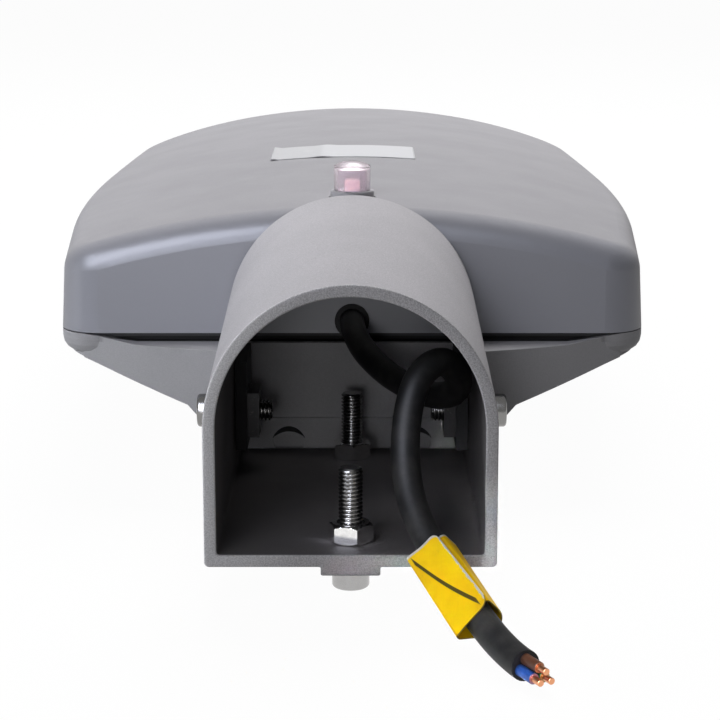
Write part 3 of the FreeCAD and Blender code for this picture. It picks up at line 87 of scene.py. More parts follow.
def grid_faces(rows, columns, wrap_rows=False, wrap_columns=False):
    """Quads between neighbours: corners (r, c), (r, c+1), (r+1, c+1), (r+1, c)."""
    r = np.arange(rows if wrap_rows else rows - 1)[:, None]
    c = np.arange(columns if wrap_columns else columns - 1)[None, :]
    r1, c1 = (r + 1) % rows, (c + 1) % columns
    quads = [r * columns + c, r * columns + c1, r1 * columns + c1, r1 * columns + c]
    return np.stack(quads, axis=-1).reshape(-1, 4)


def patch(points, wrap_rows=False, wrap_columns=False):
    """One grid of points, rows x columns x 3, with its faces."""
    points = np.asarray(points, float)
    rows, columns = points.shape[:2]
    return points.reshape(-1, 3), grid_faces(rows, columns, wrap_rows, wrap_columns)


print("3 x 4 points make", len(grid_faces(3, 4)), "faces")

# %% Pieces
SAME_POINT = 1e-6


def clean(mesh):
    """Merges equal points, drops faces without area and turns the rest outwards."""
    form = bmesh.new()
    form.from_mesh(mesh)
    bmesh.ops.remove_doubles(form, verts=form.verts, dist=SAME_POINT)
    bmesh.ops.dissolve_degenerate(form, edges=form.edges, dist=SAME_POINT)
    bmesh.ops.recalc_face_normals(form, faces=form.faces)
    form.to_mesh(mesh)
    form.free()


def make_piece(name, patches, sharp_angle=38.0, rides=True):
    """Joins patches into one clean mesh, smooth but for edges over sharp_angle degrees."""
    starts = np.cumsum([0] + [len(points) for points, _ in patches])
    verts = np.concatenate([points for points, _ in patches])
    faces = np.concatenate([quads + start for (_, quads), start in zip(patches, starts)])
    mesh = bpy.data.meshes.new(name)
    mesh.from_pydata(verts.tolist(), [], faces.tolist())
    clean(mesh)
    mesh.shade_smooth()
    mesh.set_sharp_from_angle(angle=math.radians(sharp_angle))
    piece = bpy.data.objects.new(name, mesh)
    bpy.context.scene.collection.objects.link(piece)
    if rides:
        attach(piece, "root")
    return piece


# %% [markdown]
# ## Shader maths
# A finish is a small network of nodes. They could be linked one by one, but a mask is easier to
# read as a formula. So one class wraps a node's output and overloads the arithmetic operators, and
# every other node comes from one method.

# %% Levels


class Level:
    """A number that varies over a surface. Arithmetic on it adds Math nodes."""

    def __init__(self, nodes, socket):
        self.nodes, self.socket = nodes, socket

    def maths(self, operation, *values):
        node = self.nodes.node("ShaderNodeMath", {"operation": operation}, dict(enumerate(values)))
        return Level(self.nodes, node.outputs[0])

    def __add__(self, other):
        return self.maths("ADD", self, other)

    def __sub__(self, other):
        return self.maths("SUBTRACT", self, other)

    def __rsub__(self, other):
        return self.maths("SUBTRACT", other, self)

    def __mul__(self, other):
        return self.maths("MULTIPLY", self, other)

    def __pow__(self, other):
        return self.maths("POWER", self, other)

    __radd__, __rmul__ = __add__, __mul__

    def absolute(self):
        return self.maths("ABSOLUTE", self)

    def sine(self):
        return self.maths("SINE", self)

    def step(self, low, high):
        """0 below low and 1 above high, smooth between them."""
        values = {"Value": self, "From Min": low, "From Max": high}
        node = self.nodes.node("ShaderNodeMapRange", {"interpolation_type": "SMOOTHSTEP"}, values)
        return Level(self.nodes, node.outputs[0])

    def fall(self, low, high):
        """1 below low and 0 above high."""
        return 1 - self.step(low, high)


print("levels:", [name for name in vars(Level) if name[0] != "_"])

# %% Nodes


class Nodes:
    """A node tree. All its nodes come from node(), those of the operators too."""

    def __init__(self, tree):
        self.tree = tree

    def node(self, kind, settings, values):
        """Adds a node, sets what it does, and gives its sockets numbers, colours or links."""
        made = self.tree.nodes.new(kind)
        for name, value in settings.items():
            setattr(made, name, value)
        for socket, value in values.items():
            self.join(made.inputs[socket], value)
        return made

    def join(self, target, value):
        value = getattr(value, "socket", value)
        if isinstance(value, bpy.types.NodeSocket):
            self.tree.links.new(value, target)
        elif isinstance(value, tuple) and len(value) == 3 and target.type == "RGBA":
            target.default_value = (*value, 1)
        else:
            target.default_value = value

    def ray(self, kind):
        """1 where the light path is of a kind, such as Is Camera Ray."""
        return Level(self, self.node("ShaderNodeLightPath", {}, {}).outputs[kind])


print("nodes:", [name for name in vars(Nodes) if name[0] != "_"])

# %% Finishes


class Finish(Nodes):
    """A Principled material; its varying inputs are set with give()."""

    def __init__(self, name, **constants):
        self.material = bpy.data.materials.new(name)
        self.material.use_nodes = True
        super().__init__(self.material.node_tree)
        self.shader = self.tree.nodes["Principled BSDF"]
        self.give(**constants)

    def give(self, **values):
        for name, value in values.items():
            self.join(self.shader.inputs[name.replace("_", " ")], value)

    def place(self):
        """Object coordinates in metres: the frame's own X, Y and Z."""
        return self.node("ShaderNodeTexCoord", {}, {}).outputs["Object"]

    def parts(self, vector=None):
        """The three numbers of a vector, or of the place."""
        split = self.node("ShaderNodeSeparateXYZ", {}, {0: vector or self.place()})
        return [Level(self, socket) for socket in split.outputs]

    def stretched(self, scale):
        """The place, each of its numbers times its own scale."""
        values = {0: self.place(), 1: scale}
        return self.node("ShaderNodeVectorMath", {"operation": "MULTIPLY"}, values).outputs[0]

    def noise(self, size, detail=3.0, roughness=0.55, vector=None):
        """Fractal noise from 0 to 1 whose blotches are about size metres across."""
        values = {"Vector": vector or self.place(), "Scale": 1 / size, "Detail": detail,
                  "Roughness": roughness}
        return Level(self, self.node("ShaderNodeTexNoise", {}, values).outputs[0])

    def blend(self, amount, low, high):
        """Colour between low and high."""
        mix = self.node("ShaderNodeMix", {"data_type": "RGBA"}, {0: amount, 6: low, 7: high})
        return mix.outputs[2]

    def bump(self, height, depth, strength=1.0):
        """Normal pushed by a height of depth metres."""
        values = {"Height": height, "Distance": depth, "Strength": strength}
        return self.node("ShaderNodeBump", {}, values).outputs[0]


print("finish:", [name for name in vars(Finish) if name[0] != "_"])

# %% Finishes on pieces


def paint(finish, *nodes):
    """Gives solids that keep their own shape their finish."""
    for node in nodes:
        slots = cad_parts[node].data.materials
        for index in range(len(slots)):
            slots[index] = finish.material
        if len(slots) == 0:
            slots.append(finish.material)


def dress(piece, finish, slot, *nodes):
    """Gives a new piece its finish and hides the nodes that it stands for; slot is not used."""
    piece.data.materials.append(finish.material)
    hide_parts(*nodes)
    return piece


print("solids to paint or to stand for:", len(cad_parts))

# %% [markdown]
# ## Cast metal
# The bracket, the cover and the lower housing are aluminium castings with a matt grey coat, finely
# pebbled and with darker pores. An image could be wrapped round them, but noise needs no
# unwrapping, shows no seam and stays sharp near the camera. Four noises give the pebbles, the
# grains, the pores and the slow change of tone. Each casting then gets its own marks.

# %% Cast grey
PORE = 1.1 * MM
SLOW = 28 * MM


def scaled(colour, factor):
    """The same colour, lighter or darker."""
    return tuple(factor * part for part in colour)


def cast_finish(name, colour, pebble=0.40 * MM, depth=0.07 * MM, grain=0.65, **constants):
    """Coat and its colour: 1.05 to 0.84 of colour by slow tone and grains, 0.80 in pores.

    The normal is pushed by depth x (pebbles - 0.8 x pores).
    """
    coat = Finish(name, Specular_IOR_Level=0.12, **constants)
    pebbles = coat.noise(pebble, detail=4, roughness=0.6)
    grains = coat.noise(0.9 * pebble, detail=2).step(0.34, 0.66)
    pores = coat.noise(PORE, detail=5, roughness=0.7).step(0.60, 0.78)
    slow = coat.noise(SLOW, detail=3).step(0.25, 0.75)
    base = coat.blend(0.25 * slow + grain * grains, scaled(colour, 1.05), scaled(colour, 0.84))
    base = coat.blend(0.45 * pores, base, scaled(colour, 0.80))
    coat.give(Roughness=0.55 + 0.10 * slow, Normal=coat.bump(pebbles - 0.8 * pores, depth))
    return coat, base


print("pores, mm:", round(PORE / MM, 2))

# %% [markdown]
# ## Pole bracket
# The bracket is a tunnel with a flat floor, straight walls and a round roof, with a boss strip
# under its floor. An outline could be extruded and bevelled, but the roof rises towards the head,
# and the soft rim of the mouth is the nearest thing to the camera. So the shell is one closed grid.
# Its rows run along the outside, round the rim at the mouth, back inside and round the far rim. A
# Boolean drills the screw holes.

# %% Rounded corners


def rounded_path(corners, radius, steps=5):
    """Polyline through 2-D corners, each but the ends turned into an arc tangent to both its sides.

    The arc starts at radius / tan(half the corner's angle), or near half of the shorter side. One
    radius serves all corners, or each has its own.
    """
    corners = np.asarray(corners, float)
    radii = np.broadcast_to(radius, len(corners))
    path = [corners[:1]]
    for i in range(1, len(corners) - 1):
        before, after = corners[i - 1] - corners[i], corners[i + 1] - corners[i]
        room = 0.49 * min(np.linalg.norm(before), np.linalg.norm(after))
        before, after = before / np.linalg.norm(before), after / np.linalg.norm(after)
        half = 0.5 * math.acos(np.clip(before @ after, -1, 1))
        reach = min(radii[i] / math.tan(half), room)
        middle = (before + after) / np.linalg.norm(before + after)
        centre = corners[i] + middle * reach / math.cos(half)
        start, end = corners[i] + before * reach - centre, corners[i] + after * reach - centre
        swing = math.atan2(start[0] * end[1] - start[1] * end[0], start @ end)
        angle = np.linspace(0, swing, steps)[:, None]
        side = np.array([-start[1], start[0]])
        path.append(centre + start * np.cos(angle) + side * np.sin(angle))
    return np.concatenate(path + [corners[-1:]])


print("one round corner:", len(rounded_path([(0, 0), (1, 0), (1, 1)], 0.2)), "points")

# %% Bracket outline
LENGTH = 102 * MM
WALL = 3 * MM
HALF_IN = 32.5 * MM
HALF_OUT = HALF_IN + WALL
# The walls end and the roof springs at these heights over the floor.
SPRING_MOUTH, SPRING_HEAD = 31 * MM, 38 * MM
ROOF_SLOPE = (SPRING_HEAD - SPRING_MOUTH) / LENGTH
BOSS_HALF, BOSS_DEPTH = 7.25 * MM, 2.2 * MM
BOSS_ROUND, BOSS_FOOT = 0.5 * MM, 0.4 * MM
CORNER_OUT, CORNER_IN = 1.1 * MM, 0.8 * MM
BEND_STEPS, ARCH_STEPS = 7, 40


def half_outlines():
    """Right half of the outer and the inner section, from mid floor to the top of the roof."""
    under = -WALL - BOSS_DEPTH
    corners = [(0, under), (BOSS_HALF, under), (BOSS_HALF, -WALL), (HALF_OUT, -WALL),
               (HALF_OUT, SPRING_MOUTH)]
    outer = rounded_path(corners, [0, BOSS_ROUND, BOSS_FOOT, CORNER_OUT, 0], BEND_STEPS)
    # The inner floor has no boss, but it needs as many points as the outside has there.
    flat = outer[:1 + 2 * BEND_STEPS, 0]
    corners = [(0, 0), (HALF_IN, 0), (HALF_IN, SPRING_MOUTH)]
    wall = rounded_path(corners, CORNER_IN, BEND_STEPS)[1:]
    inner = np.concatenate([np.c_[flat, 0 * flat], wall])
    angle = np.linspace(0, TURN / 4, ARCH_STEPS + 1)[1:]
    arc = np.c_[np.cos(angle), np.sin(angle)]
    roof = np.array([0, SPRING_MOUTH])
    return [np.concatenate([side, roof + radius * arc])
            for side, radius in ((outer, HALF_OUT), (inner, HALF_IN))]


def whole(half):
    """A half outline, followed by its mirror image back to the start."""
    return np.concatenate([half, (half * [-1, 1])[-2:0:-1]])


outer, inner = (whole(half) for half in half_outlines())
print("bracket section:", len(outer), "points")

# %% Bracket shell
RIM = 0.45 * MM
SHELL_SHARP = 30
# Above the seam the roof carries on to the rear face of the cover.
ROOF_REACH = 3.6 * MM
SEAM = (34.5 * MM, 36 * MM)


def smoothstep(value, low, high):
    """0 below low, 1 above high, and 3t^2 - 2t^3 between them."""
    t = np.clip((np.asarray(value, float) - low) / (high - low), 0, 1)
    return t * t * (3 - 2 * t)


def bracket_rows():
    """Depth into the wall, side (0 outside, 1 inside) and place along the tunnel, once round it.

    The rim is a quarter arc on each side: inset r (1 - cos t), setback r (1 - sin t).
    """
    angle = np.linspace(0, TURN / 4, 6)
    inset, setback = RIM * (1 - np.cos(angle)), RIM * (1 - np.sin(angle))
    mouth = [(d, 0, s) for d, s in zip(inset, setback)]
    mouth += [(d, 1, s) for d, s in zip(inset[::-1], setback[::-1])]
    return mouth + [(d, side, LENGTH - s) for d, side, s in mouth[::-1]]


thickness = np.linalg.norm(inner - outer, axis=1)[:, None]
rows = []
for depth, side, from_mouth in bracket_rows():
    share = depth / thickness if side == 0 else 1 - depth / thickness
    section = outer + (inner - outer) * share
    lift = np.where(section[:, 1] > SPRING_MOUTH - 1e-9, ROOF_SLOPE * from_mouth, 0)
    height = section[:, 1] + lift
    reach = ROOF_REACH * smoothstep(height, *SEAM) if from_mouth > LENGTH / 2 else 0 * height
    rows.append(np.c_[section[:, 0], MOUTH + from_mouth + reach, FLOOR + height])
shell = make_piece("bracket_shell", [patch(rows, wrap_rows=True, wrap_columns=True)], SHELL_SHARP)
print("bracket:", len(shell.data.polygons), "faces")

# %% Screw holes
CLAMP_Y = (MOUTH + 12 * MM, MOUTH + 92 * MM)
SIDE_Y = MOUTH + 85 * MM
SIDE_Z = FLOOR + 15.5 * MM
HOLE = 3.25 * MM
# Two drills go up through the floor, and one through both walls.
DRILL_Z = (FLOOR - 9 * MM, FLOOR + 6 * MM)
DRILL_X = (-45 * MM, 45 * MM)


def turned(profile, columns, centre=(0, 0, 0), axis="z"):
    """Surface of revolution: radius and height of each profile point, carried round the axis."""
    angle = np.linspace(0, TURN, columns, endpoint=False)[:, None]
    radius, height = np.asarray(profile, float).T
    across, up = radius * np.cos(angle), radius * np.sin(angle)
    along = np.broadcast_to(height, across.shape)
    order = {"z": (across, up, along), "x": (along, across, up)}[axis]
    return patch(np.stack(order, axis=-1) + np.asarray(centre), wrap_rows=True)


def drill_form(name, centre, axis, low, high):
    """Closed cylinder as wide as a hole, between two levels on its axis."""
    profile = [(0, low), (HOLE, low), (HOLE, high), (0, high)]
    return make_piece(name, [turned(profile, 48, centre, axis)], rides=False)


drills = [drill_form("drill_%d" % k, (0, y, 0), "z", *DRILL_Z) for k, y in enumerate(CLAMP_Y)]
drills.append(drill_form("drill_side", (0, SIDE_Y, SIDE_Z), "x", *DRILL_X))
for drill in drills:
    cut = shell.modifiers.new(drill.name, "BOOLEAN")
    cut.operation = "DIFFERENCE"
    cut.solver = "EXACT"
    cut.object = drill
drilled = shell.evaluated_get(bpy.context.evaluated_depsgraph_get())
mesh = bpy.data.meshes.new_from_object(drilled)
shell.modifiers.clear()
shell.data = mesh
clean(mesh)
mesh.set_sharp_from_angle(angle=math.radians(SHELL_SHARP))
for drill in drills:
    bpy.data.objects.remove(drill)
print("drilled bracket:", len(shell.data.polygons), "faces")

# %% [markdown]
# ## The bracket's coat
# Inside the tunnel the coat is painted nearly black, a painted shade, and the rim of the mouth has
# bright chips of wear and a painted highlight, most of all at the left. Chosen faces could get
# other materials, but with hard borders, so masks worked out from the place tint the one coat. The
# painted shade covers what lies within a form half a wall larger than the tunnel: a disc whose
# height is counted only from the line where the roof springs.

# %% Bracket coat


def disc(across, up, radius, soft=0.1 * MM):
    """1 where sqrt(across^2 + up^2) < radius - soft, 0 where it is > radius + soft."""
    return ((across * across + up * up) ** 0.5).fall(radius - soft, radius + soft)


coat, base = cast_finish("cast_grey", (0.445, 0.432, 0.452), depth=0.10 * MM, grain=0.9)
across, along, up = coat.parts()
from_mouth, over_floor = along - MOUTH, up - FLOOR
near_rim = from_mouth.absolute().fall(0.25 * MM, 0.9 * MM)
over_spring = over_floor - SPRING_MOUTH - ROOF_SLOPE * from_mouth
over_spring = 0.5 * (over_spring + over_spring.absolute())
# Painted shade: the coat inside the tunnel is painted nearly black.
inside = disc(across, over_spring, HALF_IN + WALL / 2, soft=0.2 * MM)
inside = inside * over_floor.step(-1.6 * MM, -1.2 * MM) * (1 - near_rim)
base = coat.blend(0.88 * inside, base, (0.078, 0.071, 0.069))
chips = coat.noise(0.35 * MM, detail=3, roughness=0.7).step(0.42, 0.58)
# Painted highlight: the rim is painted brighter towards the left; worn adds it to the chips of
# wear.
left_rim_highlight = (across + HALF_OUT).fall(4 * MM, 28 * MM)
worn = near_rim * (0.45 * chips + 0.5 * left_rim_highlight)
coat.give(Base_Color=coat.blend(worn, base, (0.80, 0.79, 0.80)))
dress(shell, coat, "cast_grey", "pole_bracket")
print("bracket coat:", len(coat.tree.nodes), "nodes")

# %% [markdown]
# ## Cover and housing
# These two castings keep their solids. The cover has pale streaks, and its upright rear face is
# glossier than its top and painted darker and bluer, a painted shade. The housing has a painted
# shadow in the slot under the cover, lugs in the bracket painted dark for their shade, and painted
# shade along the upper rims of two dimples. Such marks could be thin pieces laid on the surface,
# but masks can't clip or float. A dimple's painted shade is a crescent: a disc less a lower, larger
# one.

# %% Cover coat
REAR_FACE = (107 * MM, 117 * MM)

coat, base = cast_finish("cover_grey", (0.335, 0.328, 0.344), pebble=0.6 * MM,
                         depth=0.012 * MM, grain=0.25, Coat_Roughness=0.35)
streaks = coat.noise(9 * MM, detail=6, roughness=0.65).step(0.52, 0.80)
base = coat.blend(0.22 * streaks, base, (0.40, 0.40, 0.41))
_, along, _ = coat.parts()
# Painted shade: the upright rear face is painted darker and bluer than the top; its coat is
# glossier.
rear_face = (along - MOUTH).fall(*REAR_FACE)
coat.give(Base_Color=coat.blend(0.85 * rear_face, base, (0.285, 0.290, 0.335)),
          Coat_Weight=0.9 * rear_face)
paint(coat, "top_cover")
print("cover coat:", len(coat.tree.nodes), "nodes")

# %% Housing coat
# Places are counted from the middle plane, the mouth and the floor.
DIMPLE_SIDE, DIMPLE_RISE, DIMPLE_RADIUS = 18.4 * MM, 1.0 * MM, 5.0 * MM
UNSHADED_RISE, UNSHADED_RADIUS = -2.3 * MM, 6.5 * MM
PANEL = 103.5 * MM
LUG_BACK, LUG_SIDE = (102.6 * MM, 103 * MM), (32.3 * MM, 32.6 * MM)
SLOT_START, SLOT_BACK = (105.2 * MM, 105.8 * MM), (112 * MM, 114 * MM)
SLOT_RISE, SLOT_END = (30.6 * MM, 30.9 * MM), (66 * MM, 76 * MM)

coat, base = cast_finish("housing_grey", (0.430, 0.425, 0.440), depth=0.03 * MM, grain=0.4)
across, along, up = coat.parts()
aside, from_mouth, over_floor = across.absolute(), along - MOUTH, up - FLOOR
smudge = coat.noise(14 * MM, detail=5).step(0.50, 0.85)
base = coat.blend(0.30 * smudge, base, (0.29, 0.29, 0.30))

# Painted shade: the lugs inside the bracket are painted nearly black.
lugs = from_mouth.fall(*LUG_BACK) * aside.fall(*LUG_SIDE)
base = coat.blend(0.93 * lugs, base, (0.015, 0.015, 0.016))
# Painted shadow: the slot under the cover is painted nearly black.
slot = from_mouth.step(*SLOT_START) * from_mouth.fall(*SLOT_BACK)
slot = slot * over_floor.step(*SLOT_RISE) * aside.fall(*SLOT_END)
base = coat.blend(0.98 * slot, base, (0.008, 0.008, 0.008))

# Painted shade: a near-black crescent along the upper rim of each dimple.
from_dimple = aside - DIMPLE_SIDE
bowl = disc(from_dimple, over_floor - DIMPLE_RISE, DIMPLE_RADIUS)
crescent = bowl * (1 - disc(from_dimple, over_floor - UNSHADED_RISE, UNSHADED_RADIUS))
on_panel = (from_mouth - PANEL).absolute().fall(2.5 * MM, 3.5 * MM)
dimple_shade = crescent * on_panel * over_floor.step(2.4 * MM, 3.2 * MM)
coat.give(Base_Color=coat.blend(0.97 * dimple_shade, base, (0.004, 0.004, 0.004)))
paint(coat, "lower_housing")
print("housing coat:", len(coat.tree.nodes), "nodes")

# %% [markdown]
# ## Screws and nuts
# Four M6 socket screws hold the head: two clamp the pole from below and two hold the lugs from the
# sides. Their solids have plain shanks. A thread could be a profile swept up a helix, with a join
# to hide. Here the radius of the shank depends on height and angle together, so the thread is part
# of one closed grid. Heads and nuts get the chamfers that catch the light. The steel is brushed
# along the upright screws and painted darker where the shanks stand in the tunnel, a painted shade,
# and the square nuts there are painted near black for their shade.

# %% Steel and zinc
steel = Finish("stainless", Metallic=1.0)
brushed = steel.noise(0.9 * MM, detail=4, vector=steel.stretched((1, 1, 0.25)))
stains = steel.noise(3 * MM, detail=5).step(0.50, 0.80)
_, _, up = steel.parts()
# Painted shade: steel above the floor, in the tunnel, is painted darker.
steel_shade = (up - FLOOR).step(-2 * MM, 0.0)
bright = steel.blend(0.30 * stains, (0.42, 0.415, 0.41), (0.30, 0.29, 0.28))
steel.give(Base_Color=steel.blend(0.8 * steel_shade, bright, (0.20, 0.195, 0.19)),
           Roughness=0.16 + 0.12 * brushed + 0.08 * stains)

# Painted shade: the square nuts in the tunnel are painted near black; the lighter spots are wear.
nut_shade_black = Finish("nut_shade_black", Metallic=0.6)
worn = nut_shade_black.noise(1.2 * MM, detail=5, roughness=0.65).step(0.58, 0.80)
nut_shade_black.give(Base_Color=nut_shade_black.blend(worn, (0.035, 0.034, 0.036), (0.13, 0.125, 0.12)),
                Roughness=0.35 + 0.15 * worn)

zinc = Finish("galvanised", Metallic=1.0)
spangle = zinc.noise(1.6 * MM, detail=3, roughness=0.5)
zinc.give(Base_Color=zinc.blend(spangle.step(0.35, 0.75), (0.93, 0.92, 0.91), (0.84, 0.83, 0.82)),
          Roughness=0.08 + 0.12 * spangle)
paint(steel, "cover_screws", "lens_frame_screws", "driver_screws")
paint(zinc, "side_washer_left", "side_washer_right")
paint(nut_shade_black, "square_nut_left", "square_nut_right")
print("steel:", len(steel.tree.nodes), "nodes")

# %% Threads
PITCH = 1.0 * MM
THREAD_RADIUS = 3.0 * MM
THREAD_DEPTH = 0.5 * MM
# The shank starts a little inside the head, and both are closed forms.
IN_HEAD = 0.5 * MM


def round_angles(columns):
    """Angles of the columns of a grid that runs once round an axis."""
    return np.linspace(0, TURN, columns, endpoint=False)[None, :]


def round_grid(radius, height, angle):
    """Points (radius cos, radius sin, height) at the angles of the columns."""
    across, up = radius * np.cos(angle), radius * np.sin(angle)
    return np.stack([across, up, height + 0 * across], axis=-1)


def thread_patch(reach, columns=36, per_pitch=9):
    """Closed shank: radius = R - depth x tooth(height / pitch - angle / turn).

    The tooth runs from 0 at a crest to 1 at a root; the last pitch tapers to a chamfered end.
    """
    height = np.linspace(-IN_HEAD, reach, int((reach + IN_HEAD) / PITCH * per_pitch))[:, None]
    angle = round_angles(columns)
    phase = np.mod(height / PITCH - angle / TURN, 1.0)
    tooth = smoothstep(1 - np.abs(2 * phase - 1), 0.25, 0.95)
    radius = THREAD_RADIUS - THREAD_DEPTH * tooth
    radius = np.minimum(radius, THREAD_RADIUS - THREAD_DEPTH + (reach - height))
    shank = round_grid(radius, height, angle)
    return np.concatenate([round_grid(0, -IN_HEAD, angle), shank, round_grid(0, reach, angle)])


print("thread:", round(THREAD_RADIUS / MM, 1), "mm radius,", round(PITCH / MM, 1), "mm pitch")

# %% Screw heads
HEAD_RADIUS, HEAD_ROUND, HEAD_CHAMFER = 4.65 * MM, 0.9 * MM, 0.3 * MM
SOCKET_ACROSS, SOCKET_MOUTH = 5.0 * MM, 3.25 * MM
SOCKET_CHAMFER, SOCKET_DEPTH, SOCKET_TIP = 0.35 * MM, 3.2 * MM, 3.6 * MM


def hex_radius(angle, across):
    """Distance from the middle of a hexagon to its side, at each angle."""
    sector = np.mod(angle, TURN / 6) - TURN / 12
    return across / 2 / np.cos(sector)


def head_patch(height, columns=72):
    """Head below its seat: underside, rounded rim, face, and the hexagonal socket with its floor.

    The rim is a quarter arc: radius R - r (1 - cos t), level -height + r (1 - sin t).
    """
    angle = round_angles(columns)
    socket = hex_radius(angle, SOCKET_ACROSS)
    turn = np.linspace(0, TURN / 4, 7)
    rings = [(0, 0), (HEAD_RADIUS - HEAD_CHAMFER, 0), (HEAD_RADIUS, -HEAD_CHAMFER)]
    rings += zip(HEAD_RADIUS - HEAD_ROUND * (1 - np.cos(turn)),
                 HEAD_ROUND * (1 - np.sin(turn)) - height)
    rings += [(SOCKET_MOUTH, -height), (socket, SOCKET_CHAMFER - height),
              (socket, SOCKET_DEPTH - height), (0, SOCKET_TIP - height)]
    return np.concatenate([round_grid(radius, level, angle) for radius, level in rings])


print("socket, mm:", round(float(hex_radius(0, SOCKET_ACROSS)) / MM, 2), "to the corner")

# %% Screws
CLAMP_HEAD, SIDE_HEAD = 6.5 * MM, 6.3 * MM
# The clamp screws end 18.9 mm over the floor.
SEAT_Z = FLOOR - WALL - BOSS_DEPTH
CLAMP_REACH = 18.9 * MM + WALL + BOSS_DEPTH
SIDE_REACH = 14.8 * MM
WASHER = 1.5 * MM


def carried(points, seat, heading):
    """Moves points drawn about Z so that Z looks along heading and the origin lies at seat."""
    heading = np.asarray(heading, float)
    side = np.cross([0, 1, 0], heading)
    side /= np.linalg.norm(side)
    return np.asarray(seat) + points @ np.array([side, np.cross(heading, side), heading])


def socket_screw(name, node, seat, heading, reach, head_height):
    """Screw whose head sits below seat and whose thread reaches along heading."""
    parts = [patch(carried(drawn, seat, heading), wrap_columns=True)
             for drawn in (thread_patch(reach), head_patch(head_height))]
    return dress(make_piece(name, parts, sharp_angle=40), steel, "stainless", node)


for end, y in zip(("front", "rear"), CLAMP_Y):
    screw = socket_screw("threaded_clamp_" + end, "clamp_screw_" + end, (0, y, SEAT_Z), (0, 0, 1),
                         CLAMP_REACH, CLAMP_HEAD)
for side, sign in (("left", -1), ("right", 1)):
    seat = (sign * (HALF_OUT + WASHER), SIDE_Y, SIDE_Z)
    screw = socket_screw("threaded_side_" + side, "side_screw_" + side, seat, (-sign, 0, 0),
                         SIDE_REACH, SIDE_HEAD)
print("side screw:", len(screw.data.polygons), "faces")

# %% Nuts
NUT_ACROSS, NUT_HEIGHT = 10 * MM, 5 * MM
NUT_BORE, BORE_MOUTH, BORE_CHAMFER = 3.05 * MM, 3.5 * MM, 0.45 * MM
# A cone cuts the hexagon's corners at top and bottom.
CONE_DEPTH, CONE_IN, CONE_SLOPE = 0.9 * MM, 0.35 * MM, 1.5
NUT_TURNS = {"front": 46, "rear": 35}


def nut_patch(columns=144):
    """Chamfered nut: radius = least of hexagon and cone, and a bore with two chamfers."""
    angle = round_angles(columns)
    level = np.linspace(0, CONE_DEPTH, 7)
    heights = np.concatenate([level, NUT_HEIGHT - level[::-1]])[:, None]
    cone = NUT_ACROSS / 2 - CONE_IN + CONE_SLOPE * np.minimum(heights, NUT_HEIGHT - heights)
    outside = np.minimum(hex_radius(angle, NUT_ACROSS), cone)
    rings = [(NUT_BORE, BORE_CHAMFER), (BORE_MOUTH, 0), (outside, heights),
             (BORE_MOUTH, NUT_HEIGHT), (NUT_BORE, NUT_HEIGHT - BORE_CHAMFER)]
    return np.concatenate([round_grid(radius, height, angle) for radius, height in rings])


for (end, bearing), y in zip(NUT_TURNS.items(), CLAMP_Y):
    cos, sin = math.cos(math.radians(bearing)), math.sin(math.radians(bearing))
    points = nut_patch() @ np.array([[cos, sin, 0], [-sin, cos, 0], [0, 0, 1]]) + [0, y, FLOOR]
    grid = patch(points, wrap_rows=True, wrap_columns=True)
    nut = make_piece("hex_nut_" + end, [grid], sharp_angle=25)
    dress(nut, zinc, "galvanised", "clamp_nut_" + end)
print("nut:", len(nut.data.polygons), "faces")

# %% [markdown]
# ## Supply cable
# The cable leaves the cover above the middle, drops to the right, rises into one tight loop and
# falls out of the bracket's mouth onto the surface below. It could be a mesh tube, but a NURBS
# curve with a bevel stays smooth: its control points are the points that guide the solid's runs
# and arcs. The sheath is black rubber, scuffed and a little dusty.

# %% Cable
CABLE_DIAMETER = 7.2 * MM
CABLE_ROUTE = [
    (0.0000, -0.1065, 0.0508),
    (0.0000, -0.1175, 0.0508),
    (0.0040, -0.1285, 0.0455),
    (0.0120, -0.1405, 0.0410),
    (0.0210, -0.1525, 0.0395),
    (0.0273, -0.1655, 0.0430),
    (0.0280, -0.1765, 0.0510),
    (0.0226, -0.1845, 0.0570),
    (0.0166, -0.1895, 0.0535),
    (0.0138, -0.1951, 0.0448),
    (0.0132, -0.2021, 0.0342),
    (0.0150, -0.2105, 0.0252),
    (0.0194, -0.2207, 0.0186),
    (0.0306, -0.2435, 0.0070),
    (0.0364, -0.2551, 0.0038),
    (0.0388, -0.2600, 0.0038),
]

line = bpy.data.curves.new("cable_sheath", "CURVE")
line.dimensions = "3D"
strand = line.splines.new("NURBS")
strand.points.add(len(CABLE_ROUTE) - 1)
strand.points.foreach_set("co", np.c_[np.array(CABLE_ROUTE), np.ones(len(CABLE_ROUTE))].ravel())
# The points carry the radius and the bevel is 1 m times it, so that the curve's own box is true.
strand.points.foreach_set("radius", np.full(len(CABLE_ROUTE), CABLE_DIAMETER / 2))
strand.order_u = 3
strand.use_endpoint_u = True
line.resolution_u = 16
line.bevel_depth = 1.0
line.bevel_resolution = 10
line.use_fill_caps = True
cable = bpy.data.objects.new("cable_sheath", line)
bpy.context.scene.collection.objects.link(cable)
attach(cable, "root")

# %% Cable rubber
rubber = Finish("cable_rubber", Specular_IOR_Level=0.20)
scuffs = rubber.noise(6 * MM, detail=6)
grain = rubber.noise(0.35 * MM, detail=2)
dust = rubber.noise(2.5 * MM, detail=6, roughness=0.7).step(0.55, 0.80)
black = rubber.blend(scuffs.step(0.35, 0.75), (0.012, 0.012, 0.013), (0.030, 0.029, 0.028))
black = rubber.blend(0.30 * dust, black, (0.050, 0.048, 0.047))
rubber.give(Base_Color=black, Roughness=0.38 + 0.25 * scuffs,
            Normal=rubber.bump(grain, 0.03 * MM, 0.5))
dress(cable, rubber, "cable_rubber", "supply_cable")
paint(rubber, "inner_cable", "cable_grommet")
print("rubber:", len(rubber.tree.nodes), "nodes")

